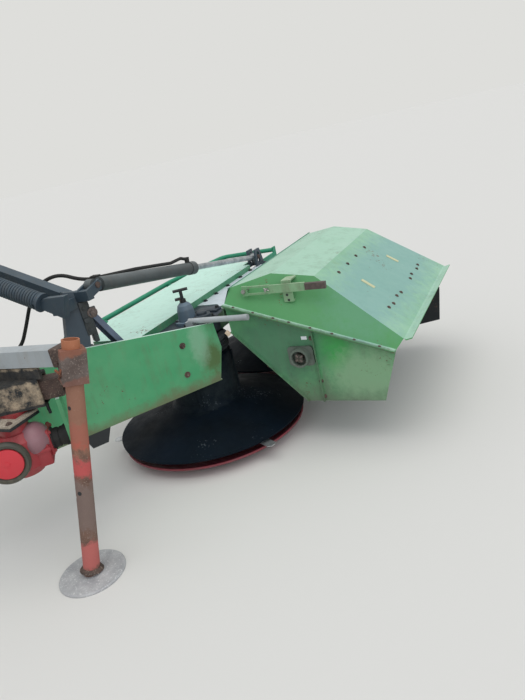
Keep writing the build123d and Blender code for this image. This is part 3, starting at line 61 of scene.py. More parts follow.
def way(x, y, z):
    """A unit direction."""
    return Vector((x, y, z)).normalized()


# Camera, fitted to the photograph

LENS = 30.857
SENSOR = 36.0
VIEW_FROM = (-1595, 2278, 1344)
VIEW_RIGHT = (-0.8921, -0.3993, -0.2115)
VIEW_UP = (-0.0415, -0.3937, 0.9183)
VIEW_BACK = (-0.45, 0.828, 0.3347)

camera_data = bpy.data.cameras.new("camera")
camera_data.lens = LENS
camera_data.sensor_width = SENSOR
camera_data.sensor_height = SENSOR
camera_data.sensor_fit = "AUTO"
camera = bpy.data.objects.new("camera", camera_data)
bpy.context.scene.collection.objects.link(camera)
axes = Matrix((VIEW_RIGHT, VIEW_UP, VIEW_BACK)).transposed()
camera.matrix_world = Matrix.Translation(at(*VIEW_FROM)) @ axes.to_4x4()
bpy.context.scene.camera = camera


# Materials

# Noise scales are in cells a metre, so a scale of 100 gives spots about 10 mm across.
# Depths of bumps are in metres.
BLEACH_SCALE = 3.2
STREAK_SCALE = 38
STREAK_STRETCH = 0.12
MUD_SCALE = 9
CHIP_SCALE = 95
CHIP_AREA_SCALE = 5.5
WAVE_SCALE = 5.0
WAVE_DEPTH = 0.003
PATCH_EDGE_SCALE = 26
PATCH_RAGGED = 1.6
RUST_GRAIN_SCALE = 160
RUST_DEPTH = 0.0012
FILM_SCALE = 22
MARK_SCALE = 420
MARK_DEPTH = 0.0003
BLOOM_SCALE = 30
BLOOM_DEPTH = 0.0006
STEEL_METALLIC = 0.8


def linear(code):
    """An sRGB hex colour as linear RGBA."""
    values = [int(code[i:i + 2], 16) / 255 for i in (1, 3, 5)]
    return [v / 12.92 if v <= 0.04045 else ((v + 0.055) / 1.055) ** 2.4 for v in values] + [1.0]


def add(tree, kind, settings=None, links=None):
    """Adds a node, sets its properties or inputs and joins its inputs to other outputs."""
    made = tree.nodes.new(kind)
    for key, value in (settings or {}).items():
        if isinstance(key, str) and hasattr(made, key):
            setattr(made, key, value)
        else:
            made.inputs[key].default_value = value
    for key, source in (links or {}).items():
        tree.links.new(source, made.inputs[key])
    return made


def material_tree(name):
    """A new material with an empty node tree."""
    material = bpy.data.materials.new(name)
    material.use_nodes = True
    tree = material.node_tree
    tree.nodes.clear()
    return material, tree


def finish_surface(tree, colour, roughness, height, bump, metallic=0.0, ior=1.5):
    """Ends a material in a shader with a colour, a roughness and a bump of a depth in metres."""
    normal = add(tree, "ShaderNodeBump", {"Strength": 1.0, "Distance": bump}, {"Height": height})
    settings = {"Metallic": metallic}
    if not metallic:
        settings["IOR"] = ior
    links = {"Base Color": colour, "Roughness": roughness, "Normal": normal.outputs[0]}
    shader = add(tree, "ShaderNodeBsdfPrincipled", settings, links)
    add(tree, "ShaderNodeOutputMaterial", None, {"Surface": shader.outputs[0]})


def around(tree, here, centre, size, edge):
    """A soft patch: 1 in an ellipsoid with these half sizes, 0 outside, its edge broken up."""
    noise = add(tree, "ShaderNodeTexNoise",
                {"Scale": PATCH_EDGE_SCALE, "Detail": 6, "Roughness": 0.7}, {"Vector": here})
    shift = tuple(-value for value in centre)
    moved = add(tree, "ShaderNodeVectorMath", {"operation": "ADD", 1: shift}, {0: here})
    scaled = add(tree, "ShaderNodeVectorMath", {"operation": "DIVIDE", 1: size},
                 {0: moved.outputs[0]})
    far = add(tree, "ShaderNodeVectorMath", {"operation": "LENGTH"}, {0: scaled.outputs[0]})
    rough = add(tree, "ShaderNodeMath", {"operation": "MULTIPLY_ADD", 1: PATCH_RAGGED},
                {0: noise.outputs[0], 2: far.outputs[1]})
    rim = 1 + PATCH_RAGGED / 2
    patch = add(tree, "ShaderNodeMapRange", {1: rim + edge, 2: rim - edge, 3: 0.0, 4: 1.0},
                {0: rough.outputs[0]})
    return patch.outputs[0]


def patched(tree, here, colour, spots, edge):
    """Lays soft patches on a colour. Columns: tone, centre, half sizes in metres, strength."""
    for code, centre, size, amount in spots:
        patch = around(tree, here, centre, size, edge)
        share = add(tree, "ShaderNodeMath", {"operation": "MULTIPLY", 1: amount}, {0: patch})
        colour = add(tree, "ShaderNodeMix", {"data_type": "RGBA", 7: linear(code)},
                     {0: share.outputs[0], 6: colour.outputs[2]})
    return colour


def enamel(name, fresh, faded, dirt, rust, fade=0.5, grime=0.4, chips=0.1, gloss=0.4, top_light_and_bleach=0.0,
           shade=0.15, ior=1.5, splash=None, spots=(), sides=()):
    """Sprayed enamel on sheet steel, bleached by sunlight in patches, with dust, streaks and rusty
    chips, and with painted light that lightens faces that look up.

    fade, grime, chips and top_light_and_bleach are strengths. Faces whose normal rises past shade
    get lighter: painted light from above, with some bleaching.
    splash gives the heights in metres between which mud along a lower edge thins out.
    sides gives another tone to the faces that look along an axis: 1 the tractor's side, 2 the sky.
    These tones are painted light and shade, set by the way a face looks.
    """
    material, tree = material_tree(name)
    place = add(tree, "ShaderNodeTexCoord")
    here = place.outputs["Object"]
    # Bleached patches about 0.3 m across
    patches = add(tree, "ShaderNodeTexNoise",
                  {"Scale": BLEACH_SCALE, "Detail": 5, "Roughness": 0.62}, {"Vector": here})
    # Faces that look up get lighter: painted light from above, with some bleaching by sunlight
    normal = add(tree, "ShaderNodeSeparateXYZ", None, {0: place.outputs["Normal"]})
    sky = add(tree, "ShaderNodeMapRange", {1: shade, 2: 0.97, 3: 0.0, 4: top_light_and_bleach},
              {0: normal.outputs[2]})
    spread = add(tree, "ShaderNodeMapRange", {1: 0.32, 2: 0.68, 3: 0.0, 4: fade},
                 {0: patches.outputs[0]})
    bleach_and_top_light = add(tree, "ShaderNodeMath", {"operation": "ADD", "use_clamp": True},
                 {0: spread.outputs[0], 1: sky.outputs[0]})
    paint = add(tree, "ShaderNodeMix",
                {"data_type": "RGBA", 6: linear(fresh), 7: linear(faded)}, {0: bleach_and_top_light.outputs[0]})
    # Dust and mud that ran down, in streaks about 25 mm wide
    stretch = add(tree, "ShaderNodeMapping", {"Scale": (1.0, 1.0, STREAK_STRETCH)}, {0: here})
    streaks = add(tree, "ShaderNodeTexNoise",
                  {"Scale": STREAK_SCALE, "Detail": 6, "Roughness": 0.7},
                  {"Vector": stretch.outputs[0]})
    mud = add(tree, "ShaderNodeTexNoise",
              {"Scale": MUD_SCALE, "Detail": 9, "Roughness": 0.72}, {"Vector": here})
    both = add(tree, "ShaderNodeMath", {"operation": "MULTIPLY"},
               {0: streaks.outputs[0], 1: mud.outputs[0]})
    film = add(tree, "ShaderNodeMapRange", {1: 0.24, 2: 0.42, 3: 0.0, 4: grime},
               {0: both.outputs[0]})
    dirty = add(tree, "ShaderNodeMix", {"data_type": "RGBA", 7: linear(dirt)},
                {0: film.outputs[0], 6: paint.outputs[2]})
    if splash:
        # The splash's upper edge goes up and down by up to 60 mm
        wander = 0.12
        height = add(tree, "ShaderNodeSeparateXYZ", None, {0: here})
        broken = add(tree, "ShaderNodeMath", {"operation": "MULTIPLY_ADD", 1: -wander},
                     {0: mud.outputs[0], 2: height.outputs[2]})
        share = add(tree, "ShaderNodeMapRange",
                    {1: splash[1] - wander / 2, 2: splash[0] - wander / 2, 3: 0.0, 4: 0.85},
                    {0: broken.outputs[0]})
        dirty = add(tree, "ShaderNodeMix", {"data_type": "RGBA", 7: linear(dirt)},
                    {0: share.outputs[0], 6: dirty.outputs[2]})
    dirty = patched(tree, here, dirty, spots, 0.35)
    # Other tones on faces that look along an axis: painted light and shade
    for axis, code, amount in sides:
        share = add(tree, "ShaderNodeMapRange", {1: 0.55, 2: 0.85, 3: 0.0, 4: amount},
                    {0: normal.outputs[axis]})
        dirty = add(tree, "ShaderNodeMix", {"data_type": "RGBA", 7: linear(code)},
                    {0: share.outputs[0], 6: dirty.outputs[2]})
    # Chips 4 to 12 mm across, down to rust, gathered in some areas
    grains = add(tree, "ShaderNodeTexNoise",
                 {"Scale": CHIP_SCALE, "Detail": 4, "Roughness": 0.6}, {"Vector": here})
    areas = add(tree, "ShaderNodeTexNoise",
                {"noise_dimensions": "4D", "Scale": CHIP_AREA_SCALE, "Detail": 3, "W": 3.0},
                {"Vector": here})
    chance = add(tree, "ShaderNodeMath", {"operation": "MULTIPLY"},
                 {0: grains.outputs[0], 1: areas.outputs[0]})
    start = 0.40 - 0.10 * chips
    chip = add(tree, "ShaderNodeMapRange", {1: start, 2: start + 0.02, 3: 0.0, 4: 1.0},
               {0: chance.outputs[0]})
    colour = add(tree, "ShaderNodeMix", {"data_type": "RGBA", 7: linear(rust)},
                 {0: chip.outputs[0], 6: dirty.outputs[2]})
    rough = add(tree, "ShaderNodeMapRange", {1: 0.3, 2: 0.7, 3: gloss, 4: gloss + 0.3},
                {0: mud.outputs[0]})
    # Sheet that waves by about a millimetre over 0.2 m, under a grain of dust
    waves = add(tree, "ShaderNodeTexNoise", {"Scale": WAVE_SCALE, "Detail": 2}, {"Vector": here})
    fine = add(tree, "ShaderNodeMath", {"operation": "MULTIPLY_ADD", 1: 0.12},
               {0: grains.outputs[0], 2: waves.outputs[0]})
    finish_surface(tree, colour.outputs[2], rough.outputs[0], fine.outputs[0], WAVE_DEPTH,
                   ior=ior)
    return material


def rusted(name, skin, deep, pale, roughness=0.75, spots=(), patch=14, balance=0.5):
    """Bare steel left outside: a brown skin with darker and sandy patches and a coarse grain."""
    material, tree = material_tree(name)
    here = add(tree, "ShaderNodeTexCoord").outputs["Object"]
    patches = add(tree, "ShaderNodeTexNoise", {"Scale": patch, "Detail": 8, "Roughness": 0.7},
                  {"Vector": here})
    # Grain about 6 mm across, coarser than real so that it shows
    grains = add(tree, "ShaderNodeTexNoise",
                 {"Scale": RUST_GRAIN_SCALE, "Detail": 4, "Roughness": 0.6}, {"Vector": here})
    first = add(tree, "ShaderNodeMapRange", {1: balance - 0.12, 2: balance + 0.12},
                {0: patches.outputs[0]})
    brown = add(tree, "ShaderNodeMix", {"data_type": "RGBA", 6: linear(deep), 7: linear(skin)},
                {0: first.outputs[0]})
    second = add(tree, "ShaderNodeMapRange", {1: 0.56, 2: 0.7}, {0: grains.outputs[0]})
    colour = add(tree, "ShaderNodeMix", {"data_type": "RGBA", 7: linear(pale)},
                 {0: second.outputs[0], 6: brown.outputs[2]})
    colour = patched(tree, here, colour, spots, 0.15)
    rough = add(tree, "ShaderNodeMapRange",
                {1: 0.3, 2: 0.7, 3: roughness - 0.1, 4: roughness + 0.12}, {0: grains.outputs[0]})
    finish_surface(tree, colour.outputs[2], rough.outputs[0], grains.outputs[0], RUST_DEPTH)
    return material


def worn_steel(name, bright, dull, roughness=0.4):
    """Ground or rubbed steel with a thin dull film, its marks about 2 mm apart."""
    material, tree = material_tree(name)
    here = add(tree, "ShaderNodeTexCoord").outputs["Object"]
    film = add(tree, "ShaderNodeTexNoise",
               {"Scale": FILM_SCALE, "Detail": 7, "Roughness": 0.68}, {"Vector": here})
    marks = add(tree, "ShaderNodeTexNoise", {"Scale": MARK_SCALE, "Detail": 3}, {"Vector": here})
    share = add(tree, "ShaderNodeMapRange", {1: 0.36, 2: 0.64}, {0: film.outputs[0]})
    colour = add(tree, "ShaderNodeMix",
                 {"data_type": "RGBA", 6: linear(bright), 7: linear(dull)}, {0: share.outputs[0]})
    rough = add(tree, "ShaderNodeMapRange",
                {1: 0.3, 2: 0.7, 3: roughness - 0.1, 4: roughness + 0.25}, {0: film.outputs[0]})
    finish_surface(tree, colour.outputs[2], rough.outputs[0], marks.outputs[0], MARK_DEPTH,
                   metallic=STEEL_METALLIC)
    return material


def rubber(name, colour_code, dust_code, roughness=0.6):
    """Moulded or extruded rubber with a bloom of dust."""
    material, tree = material_tree(name)
    here = add(tree, "ShaderNodeTexCoord").outputs["Object"]
    dust = add(tree, "ShaderNodeTexNoise",
               {"Scale": BLOOM_SCALE, "Detail": 6, "Roughness": 0.7}, {"Vector": here})
    share = add(tree, "ShaderNodeMapRange", {1: 0.42, 2: 0.75}, {0: dust.outputs[0]})
    colours = {"data_type": "RGBA", 6: linear(colour_code), 7: linear(dust_code)}
    colour = add(tree, "ShaderNodeMix", colours, {0: share.outputs[0]})
    rough = add(tree, "ShaderNodeMapRange", {1: 0.3, 2: 0.7, 3: roughness, 4: roughness + 0.25},
                {0: dust.outputs[0]})
    finish_surface(tree, colour.outputs[2], rough.outputs[0], dust.outputs[0], BLOOM_DEPTH)
    return material


# Places that patches of paint, dirt and a painted highlight lie on: the stand leg, the arm plate
# and the drums

LEG_FOOT = Vector((-31, 1038, 10))
LEG_HEAD = Vector((-150, 888, 852))
ARM_END = Vector((-180, 115, 0))
ARM_TURN = math.radians(35)
ARM_ALONG = Vector((math.sin(ARM_TURN), math.cos(ARM_TURN), 0))
ARM_OUT = Vector((-math.cos(ARM_TURN), math.sin(ARM_TURN), 0))
DRUMS_Y = (0, -950)


def on_leg(height):
    """A point of the leg's axis at a height in metres."""
    share = (height * 1000 - LEG_FOOT.z) / (LEG_HEAD.z - LEG_FOOT.z)
    return at(*LEG_FOOT.lerp(LEG_HEAD, share))


def on_arm(along, height, out=0.0):
    """A point of the arm plate's face, in millimetres along it and above the ground."""
    point = ARM_END + ARM_ALONG * along + ARM_OUT * out
    return at(point.x, point.y, height)


# Green enamel of the girders: chalky and lighter where it faces the sky, partly painted light,
# deeper on upright faces as painted shade
GREEN = enamel("green_enamel", "#2f8044", "#62a878", "#66674f", "#6b4a35",
               fade=0.45, grime=0.4, chips=0.05, top_light_and_bleach=0.8)
# The hood's enamel: a chalky mint on top, partly painted light, bluish on the rear slope, dusty on
# the seam's flange and a deeper green on the end that looks to the tractor, as painted shade
HOOD_GREEN = enamel("hood_enamel", "#4f9a5f", "#a3c9b2", "#74866f", "#6b4a35",
                    fade=0.25, grime=0.4, chips=0.04, top_light_and_bleach=0.95, shade=0.6,
                    spots=[("#7da6a2", at(-850, -520, 600), (0.17, 0.95, 0.2), 0.75),
                           ("#465c45", at(-630, 112, 555), (0.9, 0.022, 0.4), 0.75)],
                    sides=[(1, "#4a8f52", 0.7)])
# The housing's rails and edges, under old crop juice and dust
DIRTY_GREEN = enamel("dirty_green_enamel", "#3f634a", "#7b9878", "#5d5f50", "#453d31",
                     fade=0.5, grime=0.8, chips=0.35, top_light_and_bleach=0.45)
# The lever's enamel, thin and dusty
LEVER_GREEN = enamel("lever_enamel", "#5a9663", "#a3bd9b", "#6d6b56", "#5d4a33",
                     fade=0.6, grime=0.6, chips=0.2, top_light_and_bleach=0.5)
# Grease and dust over grey-green paint at the rotor's bearings
HUB_GREY = enamel("hub_enamel", "#4d5a50", "#7e877d", "#3c3a33", "#4d3d33",
                  fade=0.5, grime=0.75, chips=0.35)
# Yellowed film of two old strips on the hood
TAPE = enamel("yellowed_film", "#c3c39a", "#d6d4ae", "#9aa083", "#8a8a70",
              fade=0.6, grime=0.3, chips=0.0)
# The side panels' enamel: darker and dusty in front, bright behind the rib, dull on the rib
PANEL_GREEN = enamel("panel_enamel", "#438a59", "#74a97c", "#5f6a58", "#5d4a33",
                     fade=0.5, grime=0.6, chips=0.05, top_light_and_bleach=0.5, splash=(0.20, 0.33),
                     spots=[("#2f9a45", at(-735, 80, 450), (0.07, 0.2, 0.09), 0.8),
                            ("#85a984", at(-860, 80, 330), (0.15, 0.2, 0.11), 0.75),
                            ("#46705a", at(-480, 80, 470), (0.2, 0.2, 0.16), 0.6),
                            ("#475a45", at(-630, 112, 500), (0.9, 0.022, 0.6), 0.8)])
# The arm plate's enamel, glossier, with mud along its lower edge and a stain near its end. A pale
# patch beside the stain is a painted highlight on a dent, and the pale upper edge is a painted
# highlight
ARM_GREEN = enamel("arm_green_enamel", "#3b9663", "#6aab7c", "#66694a", "#5d4a33",
                   fade=0.55, grime=0.4, gloss=0.36, top_light_and_bleach=0.7, splash=(0.335, 0.385),
                   spots=[("#4c5f2c", on_arm(22, 455), (0.045, 0.045, 0.075), 0.85),
                          # Painted highlight on a dent, above the stain
                          ("#86b294", on_arm(65, 540), (0.04, 0.04, 0.1), 0.6)],
                   # Painted highlight on faces that look up, along the plate's upper edge
                   sides=[(2, "#d2ecdf", 0.85)])
# Chalky pale green of the front cover on faces that look up; its upright faces, such as the riser
# along its rear edge, get a deep green as painted shade
PALE_GREEN = enamel("pale_green_enamel", "#2b7a50", "#c4e8d8", "#8e9180", "#7a6a55",
                    fade=0.12, grime=0.3, chips=0.02, top_light_and_bleach=1.0)
# Deep green of the tube along the cover's edge and of its brackets
RAIL_GREEN = enamel("rail_enamel", "#12805d", "#2f9b78", "#4f6a55", "#5d4a33",
                    fade=0.4, grime=0.3, top_light_and_bleach=0.2)
# Blue-black enamel worn smooth by grass, greyer on the drums. Its black is darker than the paint,
# painted shade for the drums' undersides under the deck
DISC_BLACK = enamel("disc_enamel", "#020a12", "#0a1a28", "#262d30", "#40474c",
                    fade=0.6, grime=0.12, chips=0.12, gloss=0.5, ior=1.2,
                    spots=[("#262f31", at(0, y, 300), (0.19, 0.19, 0.13), 0.75) for y in DRUMS_Y])
# Dull grey-blue enamel on the headstock, the post, the top bar and the spring
POST_GREY = enamel("slate_enamel", "#2c3a45", "#4a5a64", "#5f5b52", "#6a4b3b",
                   fade=0.5, grime=0.35, chips=0.12, top_light_and_bleach=0.35)
# The enamel of the cylinder and the strut's head, paler and rubbed
BARREL_GREY = enamel("barrel_enamel", "#3a4041", "#6c7374", "#5f5850", "#5a4a40",
                     fade=0.45, grime=0.45, chips=0.08, top_light_and_bleach=0.45)
# Pale grey enamel on the stand tube and the rear rod
PALE_GREY = enamel("pale_grey_enamel", "#949b9e", "#b4b9ba", "#8a8478", "#7b5b48",
                   fade=0.6, grime=0.35, chips=0.08, top_light_and_bleach=0.3)
# Lilac-grey enamel on the post's strut
STRUT_LILAC = enamel("strut_enamel", "#4d586c", "#8390a6", "#5f5b58", "#5a4a40",
                     fade=0.5, grime=0.4, chips=0.15, top_light_and_bleach=0.6)
# Slate blue enamel on the bell housing
BELL_BLUE = enamel("bell_enamel", "#4d5f6e", "#748793", "#5f5b52", "#5d5148",
                   fade=0.5, grime=0.35, top_light_and_bleach=0.3)
# The post's bracket, darker and greasy
BRACKET_GREY = enamel("bracket_enamel", "#262c2f", "#4a5352", "#4c4a41", "#4d3b33",
                      fade=0.5, grime=0.5, chips=0.2)
# Plain black enamel on the hinge bracket and small fittings. The swath board, which hangs in the
# shade under the hood's rear lip, has the same black as painted shade
BLACK = enamel("black_enamel", "#14181b", "#2c3236", "#4c4a44", "#5a4438", fade=0.4, grime=0.3)
# The enamel of the gear beam and its casting, slate grey with black grease
CASTING = enamel("casting_enamel", "#262f38", "#45535f", "#3a3834", "#5a4438",
                 fade=0.5, grime=0.5, chips=0.15)
# Red enamel of the gearbox
RED = enamel("red_enamel", "#8c2229", "#b0484c", "#8a6f62", "#5d3a30",
             fade=0.45, grime=0.55, chips=0.25)
# The gearbox cover's red, still bright
BRIGHT_RED = enamel("bright_red_enamel", "#c22a35", "#d2454d", "#a86a5e", "#8a3a30",
                    fade=0.4, grime=0.25)
# The gearbox housing's red, bleached to a dusty pink
FADED_RED = enamel("faded_red_enamel", "#82404a", "#93787d", "#7d726d", "#5d4440",
                   fade=0.8, grime=0.6, chips=0.3)
# Dark red of the saucers
RIM_RED = enamel("rim_red_enamel", "#70202a", "#94505a", "#5a4a48", "#4d3330",
                 fade=0.4, grime=0.4, chips=0.2)
# Dark grease and olive dust on the gearbox cover's rim and the tine rotor
GREASY = enamel("greasy_enamel", "#2e302c", "#595647", "#77705a", "#6d3a30",
                fade=0.6, grime=0.6, chips=0.2)
# Bleached, dusty cast top of the gearbox
BEIGE = rusted("dusty_casting", "#a79c8c", "#857a6c", "#c9c0b2")
# Fresh orange rust on the wing bolt
ORANGE_RUST = rusted("orange_rust", "#8a4d31", "#4d3328", "#a0714f")
# Grey-brown rust of the clamp, the splines and the strut's bolt, warmer along the clamp's edges
CLAMP_RUST = rusted("clamp_rust", "#6d625d", "#544741", "#8a7d74",
                    spots=[("#8a5540", on_leg(0.83), (0.08, 0.08, 0.03), 0.8),
                           ("#7d4f40", on_leg(0.715), (0.08, 0.08, 0.02), 0.6)])
# Sandy old layers under black enamel, in patches 15 to 40 mm across, with black edges
SANDY_BLACK = rusted("peeling_enamel", "#ab9a82", "#1d2124", "#82715e", patch=26, balance=0.52,
                     spots=[("#1d2124", at(400, 1050, 735), (2.0, 2.0, 0.022), 0.9),
                            ("#1d2124", at(400, 1050, 618), (2.0, 2.0, 0.010), 0.9)])
# Reflective tag in white and orange
TAG = enamel("tag_film", "#e9b487", "#fff3e0", "#c9a58a", "#a87a5a",
             fade=0.8, grime=0.1, chips=0.0)
# Plain white vinyl
LABEL = enamel("white_vinyl", "#dfe6ea", "#f2f5f6", "#b9bcb8", "#9a9a94",
               fade=0.5, grime=0.15, chips=0.0)
# Whitish, lilac-grey bleached enamel of the deck, whiter on faces that look up, partly painted
# light;
# its upright faces keep a green
DECK_PALE = enamel("deck_enamel", "#4f8a72", "#ccd6da", "#8d928a", "#7a6a55",
                   fade=0.35, grime=0.3, chips=0.02, top_light_and_bleach=0.95)
# Rust with remains of red paint, a painted band above the foot and grey worn lengths
RUST = rusted("rusty_tube", "#74584a", "#5d4338", "#8f7c70",
              spots=[("#9a6b55", on_leg(0.62), (0.2, 0.2, 0.16), 0.7),
                     ("#a3594a", on_leg(0.53), (0.05, 0.05, 0.05), 0.6),
                     ("#bb4f4e", on_leg(0.41), (0.036, 0.036, 0.055), 0.9),
                     ("#ad5546", on_leg(0.49), (0.03, 0.03, 0.03), 0.8),
                     ("#77665f", on_leg(0.27), (0.08, 0.08, 0.1), 0.8),
                     ("#b5625c", on_leg(0.083), (0.08, 0.08, 0.055), 0.95),
                     ("#b5724f", on_leg(0.84), (0.06, 0.06, 0.05), 0.8)])
# Brown rust of the cylinder's pins, the inner tube, the collar, the foot's weld and bolts
BROWN = rusted("brown_steel", "#5d4a42", "#3d312c", "#8a7a6c")
# Rubbed steel on pins and shafts
STEEL = worn_steel("worn_steel", "#b9b9b6", "#8c8782")
# Dusty grey steel of the foot plate
FOOT_STEEL = rusted("dusty_plate", "#b4b4b4", "#9a9a9c", "#d2d2d0", 0.65)
# Blades ground bright by the crop
BLADE_STEEL = worn_steel("blade_steel", "#cfd2d4", "#9a9ea0", roughness=0.3)
# Hard chrome of the piston rod
CHROME = worn_steel("chromed_steel", "#b9bdc0", "#8d9598", roughness=0.3)
# Black rubber of the hose and the shaft's sleeve. The pipe and the coupling look the same.
RUBBER = rubber("black_rubber", "#111214", "#33332f")
# The drums' seals, grey with dust
SEAL_RUBBER = rubber("dusty_rubber", "#20262a", "#4d5356")
# Dark brown moulded grip
GRIP = rubber("brown_grip", "#4a3f3c", "#6b5f58", 0.5)

FINISHES = {
    GREEN: ["arm_girder", "forward_girder"],
    LEVER_GREEN: ["hood_lever", "lever_quadrant"],
    DIRTY_GREEN: ["housing_frame"],
    HOOD_GREEN: ["hood", "rear_lip"],
    PANEL_GREEN: ["side_panels"],
    ARM_GREEN: ["arm_side_plate", "drive_bracket"],
    PALE_GREEN: ["front_cover"],
    DECK_PALE: ["deck_sheet"],
    RAIL_GREEN: ["guard_rail", "rail_bracket", "cover_brackets"],
    DISC_BLACK: ["drum_inner", "drum_outer"],
    POST_GREY: ["headstock_frame", "post", "top_bar", "spring_plate", "relief_spring",
                "spring_rod", "rod_bracket"],
    BARREL_GREY: ["cylinder_barrel"],
    PALE_GREY: ["stand_tube", "rear_rod"],
    STRUT_LILAC: ["post_strut"],
    BELL_BLUE: ["bell_housing"],
    SANDY_BLACK: ["adjuster_box"],
    BLACK: ["hinge_bracket", "height_screw", "arm_lug", "swath_board", "hose_coupler"],
    CASTING: ["gear_beam"],
    RED: ["gearbox"],
    RIM_RED: ["saucer_inner", "saucer_outer"],
    RUST: ["stand_leg"],
    CLAMP_RUST: ["leg_clamp"],
    BROWN: ["barrel_pin", "rod_pin", "inner_tube"],
    HUB_GREY: ["rotor_bearings"],
    GREASY: ["conditioner_rotor"],
    FOOT_STEEL: ["stand_foot"],
    STEEL: ["hitch_pins", "hinge_pin", "input_stub", "lever_pivot"],
    BLADE_STEEL: ["blades_inner", "blades_outer"],
    CHROME: ["cylinder_rod"],
    SEAL_RUBBER: ["drum_seals"],
    RUBBER: ["hydraulic_hose", "hydraulic_pipe", "output_coupling"],
    GRIP: ["lever_grip"],
}
for finish, names in FINISHES.items():
    for name in names:
        node = NODES[name]
        if not node.material_slots:
            node.data.materials.append(finish)
        for material_slot in node.material_slots:
            material_slot.material = finish


# Floor and light, lengths in metres

FLOOR_COLOUR = "#d9d7d2"
FLOOR_HALF_SIZE = 90
FLOOR_DROP = 0.0005
FLOOR_ROUGHNESS = 0.9
SKY_COLOUR = "#e4e8ee"
SKY_STRENGTH = 0.82
BACKDROP_COLOUR = "#dededb"
# Columns: name, place that it shines from, strength, spread in degrees and colour
LIGHTS = (("overhead", (-0.6, 0.6, 6.0), 0.95, 60, "#fffdf8"),
          ("rear_fill", (-5.0, 2.5, 3.5), 0.7, 50, "#f4f8ff"))


def stage_floor():
    """A wide matt floor just under the ground plane."""
    bm = bmesh.new()
    bmesh.ops.create_grid(bm, x_segments=1, y_segments=1, size=FLOOR_HALF_SIZE)
    mesh = bpy.data.meshes.new("floor")
    bm.to_mesh(mesh)
    bm.free()
    floor = bpy.data.objects.new("floor", mesh)
    bpy.context.scene.collection.objects.link(floor)
    floor.location.z = -FLOOR_DROP
    material, tree = material_tree("floor_paint")
    settings = {"Base Color": linear(FLOOR_COLOUR), "Roughness": FLOOR_ROUGHNESS}
    shader = add(tree, "ShaderNodeBsdfPrincipled", settings)
    add(tree, "ShaderNodeOutputMaterial", None, {"Surface": shader.outputs[0]})
    mesh.materials.append(material)


def soft_light(name, place, power, spread, colour):
    """A broad even light from the direction of a place, spread over an angle in degrees."""
    data = bpy.data.lights.new(name, "SUN")
    data.angle = math.radians(spread)
    data.energy = power
    data.color = linear(colour)[:3]
    lamp = bpy.data.objects.new(name, data)
    bpy.context.scene.collection.objects.link(lamp)
    lamp.location = place
    lamp.rotation_euler = (-Vector(place)).to_track_quat("-Z", "Y").to_euler()


def sky():
    """An even sky that lights the machine. The camera and reflections see a plain backdrop."""
    world = bpy.data.worlds.new("soft_sky")
    bpy.context.scene.world = world
    world.use_nodes = True
    tree = world.node_tree
    tree.nodes.clear()
    rays = add(tree, "ShaderNodeLightPath").outputs
    direct = add(tree, "ShaderNodeMath", {"operation": "MAXIMUM"},
                 {0: rays["Is Camera Ray"], 1: rays["Is Transmission Ray"]})
    shown = add(tree, "ShaderNodeMath", {"operation": "MAXIMUM"},
                {0: direct.outputs[0], 1: rays["Is Glossy Ray"]})
    even = add(tree, "ShaderNodeBackground",
               {"Color": linear(SKY_COLOUR), "Strength": SKY_STRENGTH})
    seen = add(tree, "ShaderNodeBackground", {"Color": linear(BACKDROP_COLOUR), "Strength": 1.0})
    either = add(tree, "ShaderNodeMixShader", None,
                 {0: shown.outputs[0], 1: even.outputs[0], 2: seen.outputs[0]})
    add(tree, "ShaderNodeOutputWorld", None, {"Surface": either.outputs[0]})


stage_floor()
sky()
for light in LIGHTS:
    soft_light(*light)
bpy.context.scene.view_settings.view_transform = "Standard"


# Pieces made here

def piece(name, bm, body, finish, smooth_angle=40):
    """Makes a mesh object of a bmesh, gives it its finish and lets it ride on a body."""
    bmesh.ops.recalc_face_normals(bm, faces=bm.faces)
    mesh = bpy.data.meshes.new(name)
    bm.to_mesh(mesh)
    bm.free()
    mesh.materials.append(finish)
    made = bpy.data.objects.new(name, mesh)
    bpy.context.scene.collection.objects.link(made)
    mesh.shade_smooth()
    mesh.set_sharp_from_angle(angle=math.radians(smooth_angle))
    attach(made, body)
    return made


def facing(point, direction, turn=0.0):
    """A matrix that takes z to a direction, at a point in metres, with a turn about it."""
    lean = Vector(direction).to_track_quat("Z", "Y").to_matrix().to_4x4()
    return Matrix.Translation(point) @ lean @ Matrix.Rotation(turn, 4, "Z")


def bevel_edges(bm, edges, width):
    """Rounds edges with two segments, over a width in metres."""
    bmesh.ops.bevel(bm, geom=edges, offset=width, offset_type="OFFSET", segments=2, profile=0.5,
                    affect="EDGES", material=-1)


def cylinder(bm, matrix, radius, height, sides, bevel, radius_top=None):
    """A round or many-sided body that rises from a plane, its top edge bevelled."""
    height *= MILLIMETRE
    made = bmesh.ops.create_cone(bm, cap_ends=True, segments=sides, radius1=radius * MILLIMETRE,
                                 radius2=(radius_top or radius) * MILLIMETRE, depth=height,
                                 matrix=matrix @ Matrix.Translation((0, 0, height / 2)))
    back = matrix.inverted()
    top = [edge for edge in {e for v in made["verts"] for e in v.link_edges}
           if all((back @ v.co).z > height * 0.99 for v in edge.verts)]
    bevel_edges(bm, top, bevel * MILLIMETRE)


def cuboid(bm, matrix, size, bevel):
    """A box about a place, with its edges bevelled."""
    scale = Matrix.Diagonal((*(side * MILLIMETRE for side in size), 1))
    made = bmesh.ops.create_cube(bm, size=1, matrix=matrix @ scale)
    bevel_edges(bm, list({e for v in made["verts"] for e in v.link_edges}), bevel * MILLIMETRE)


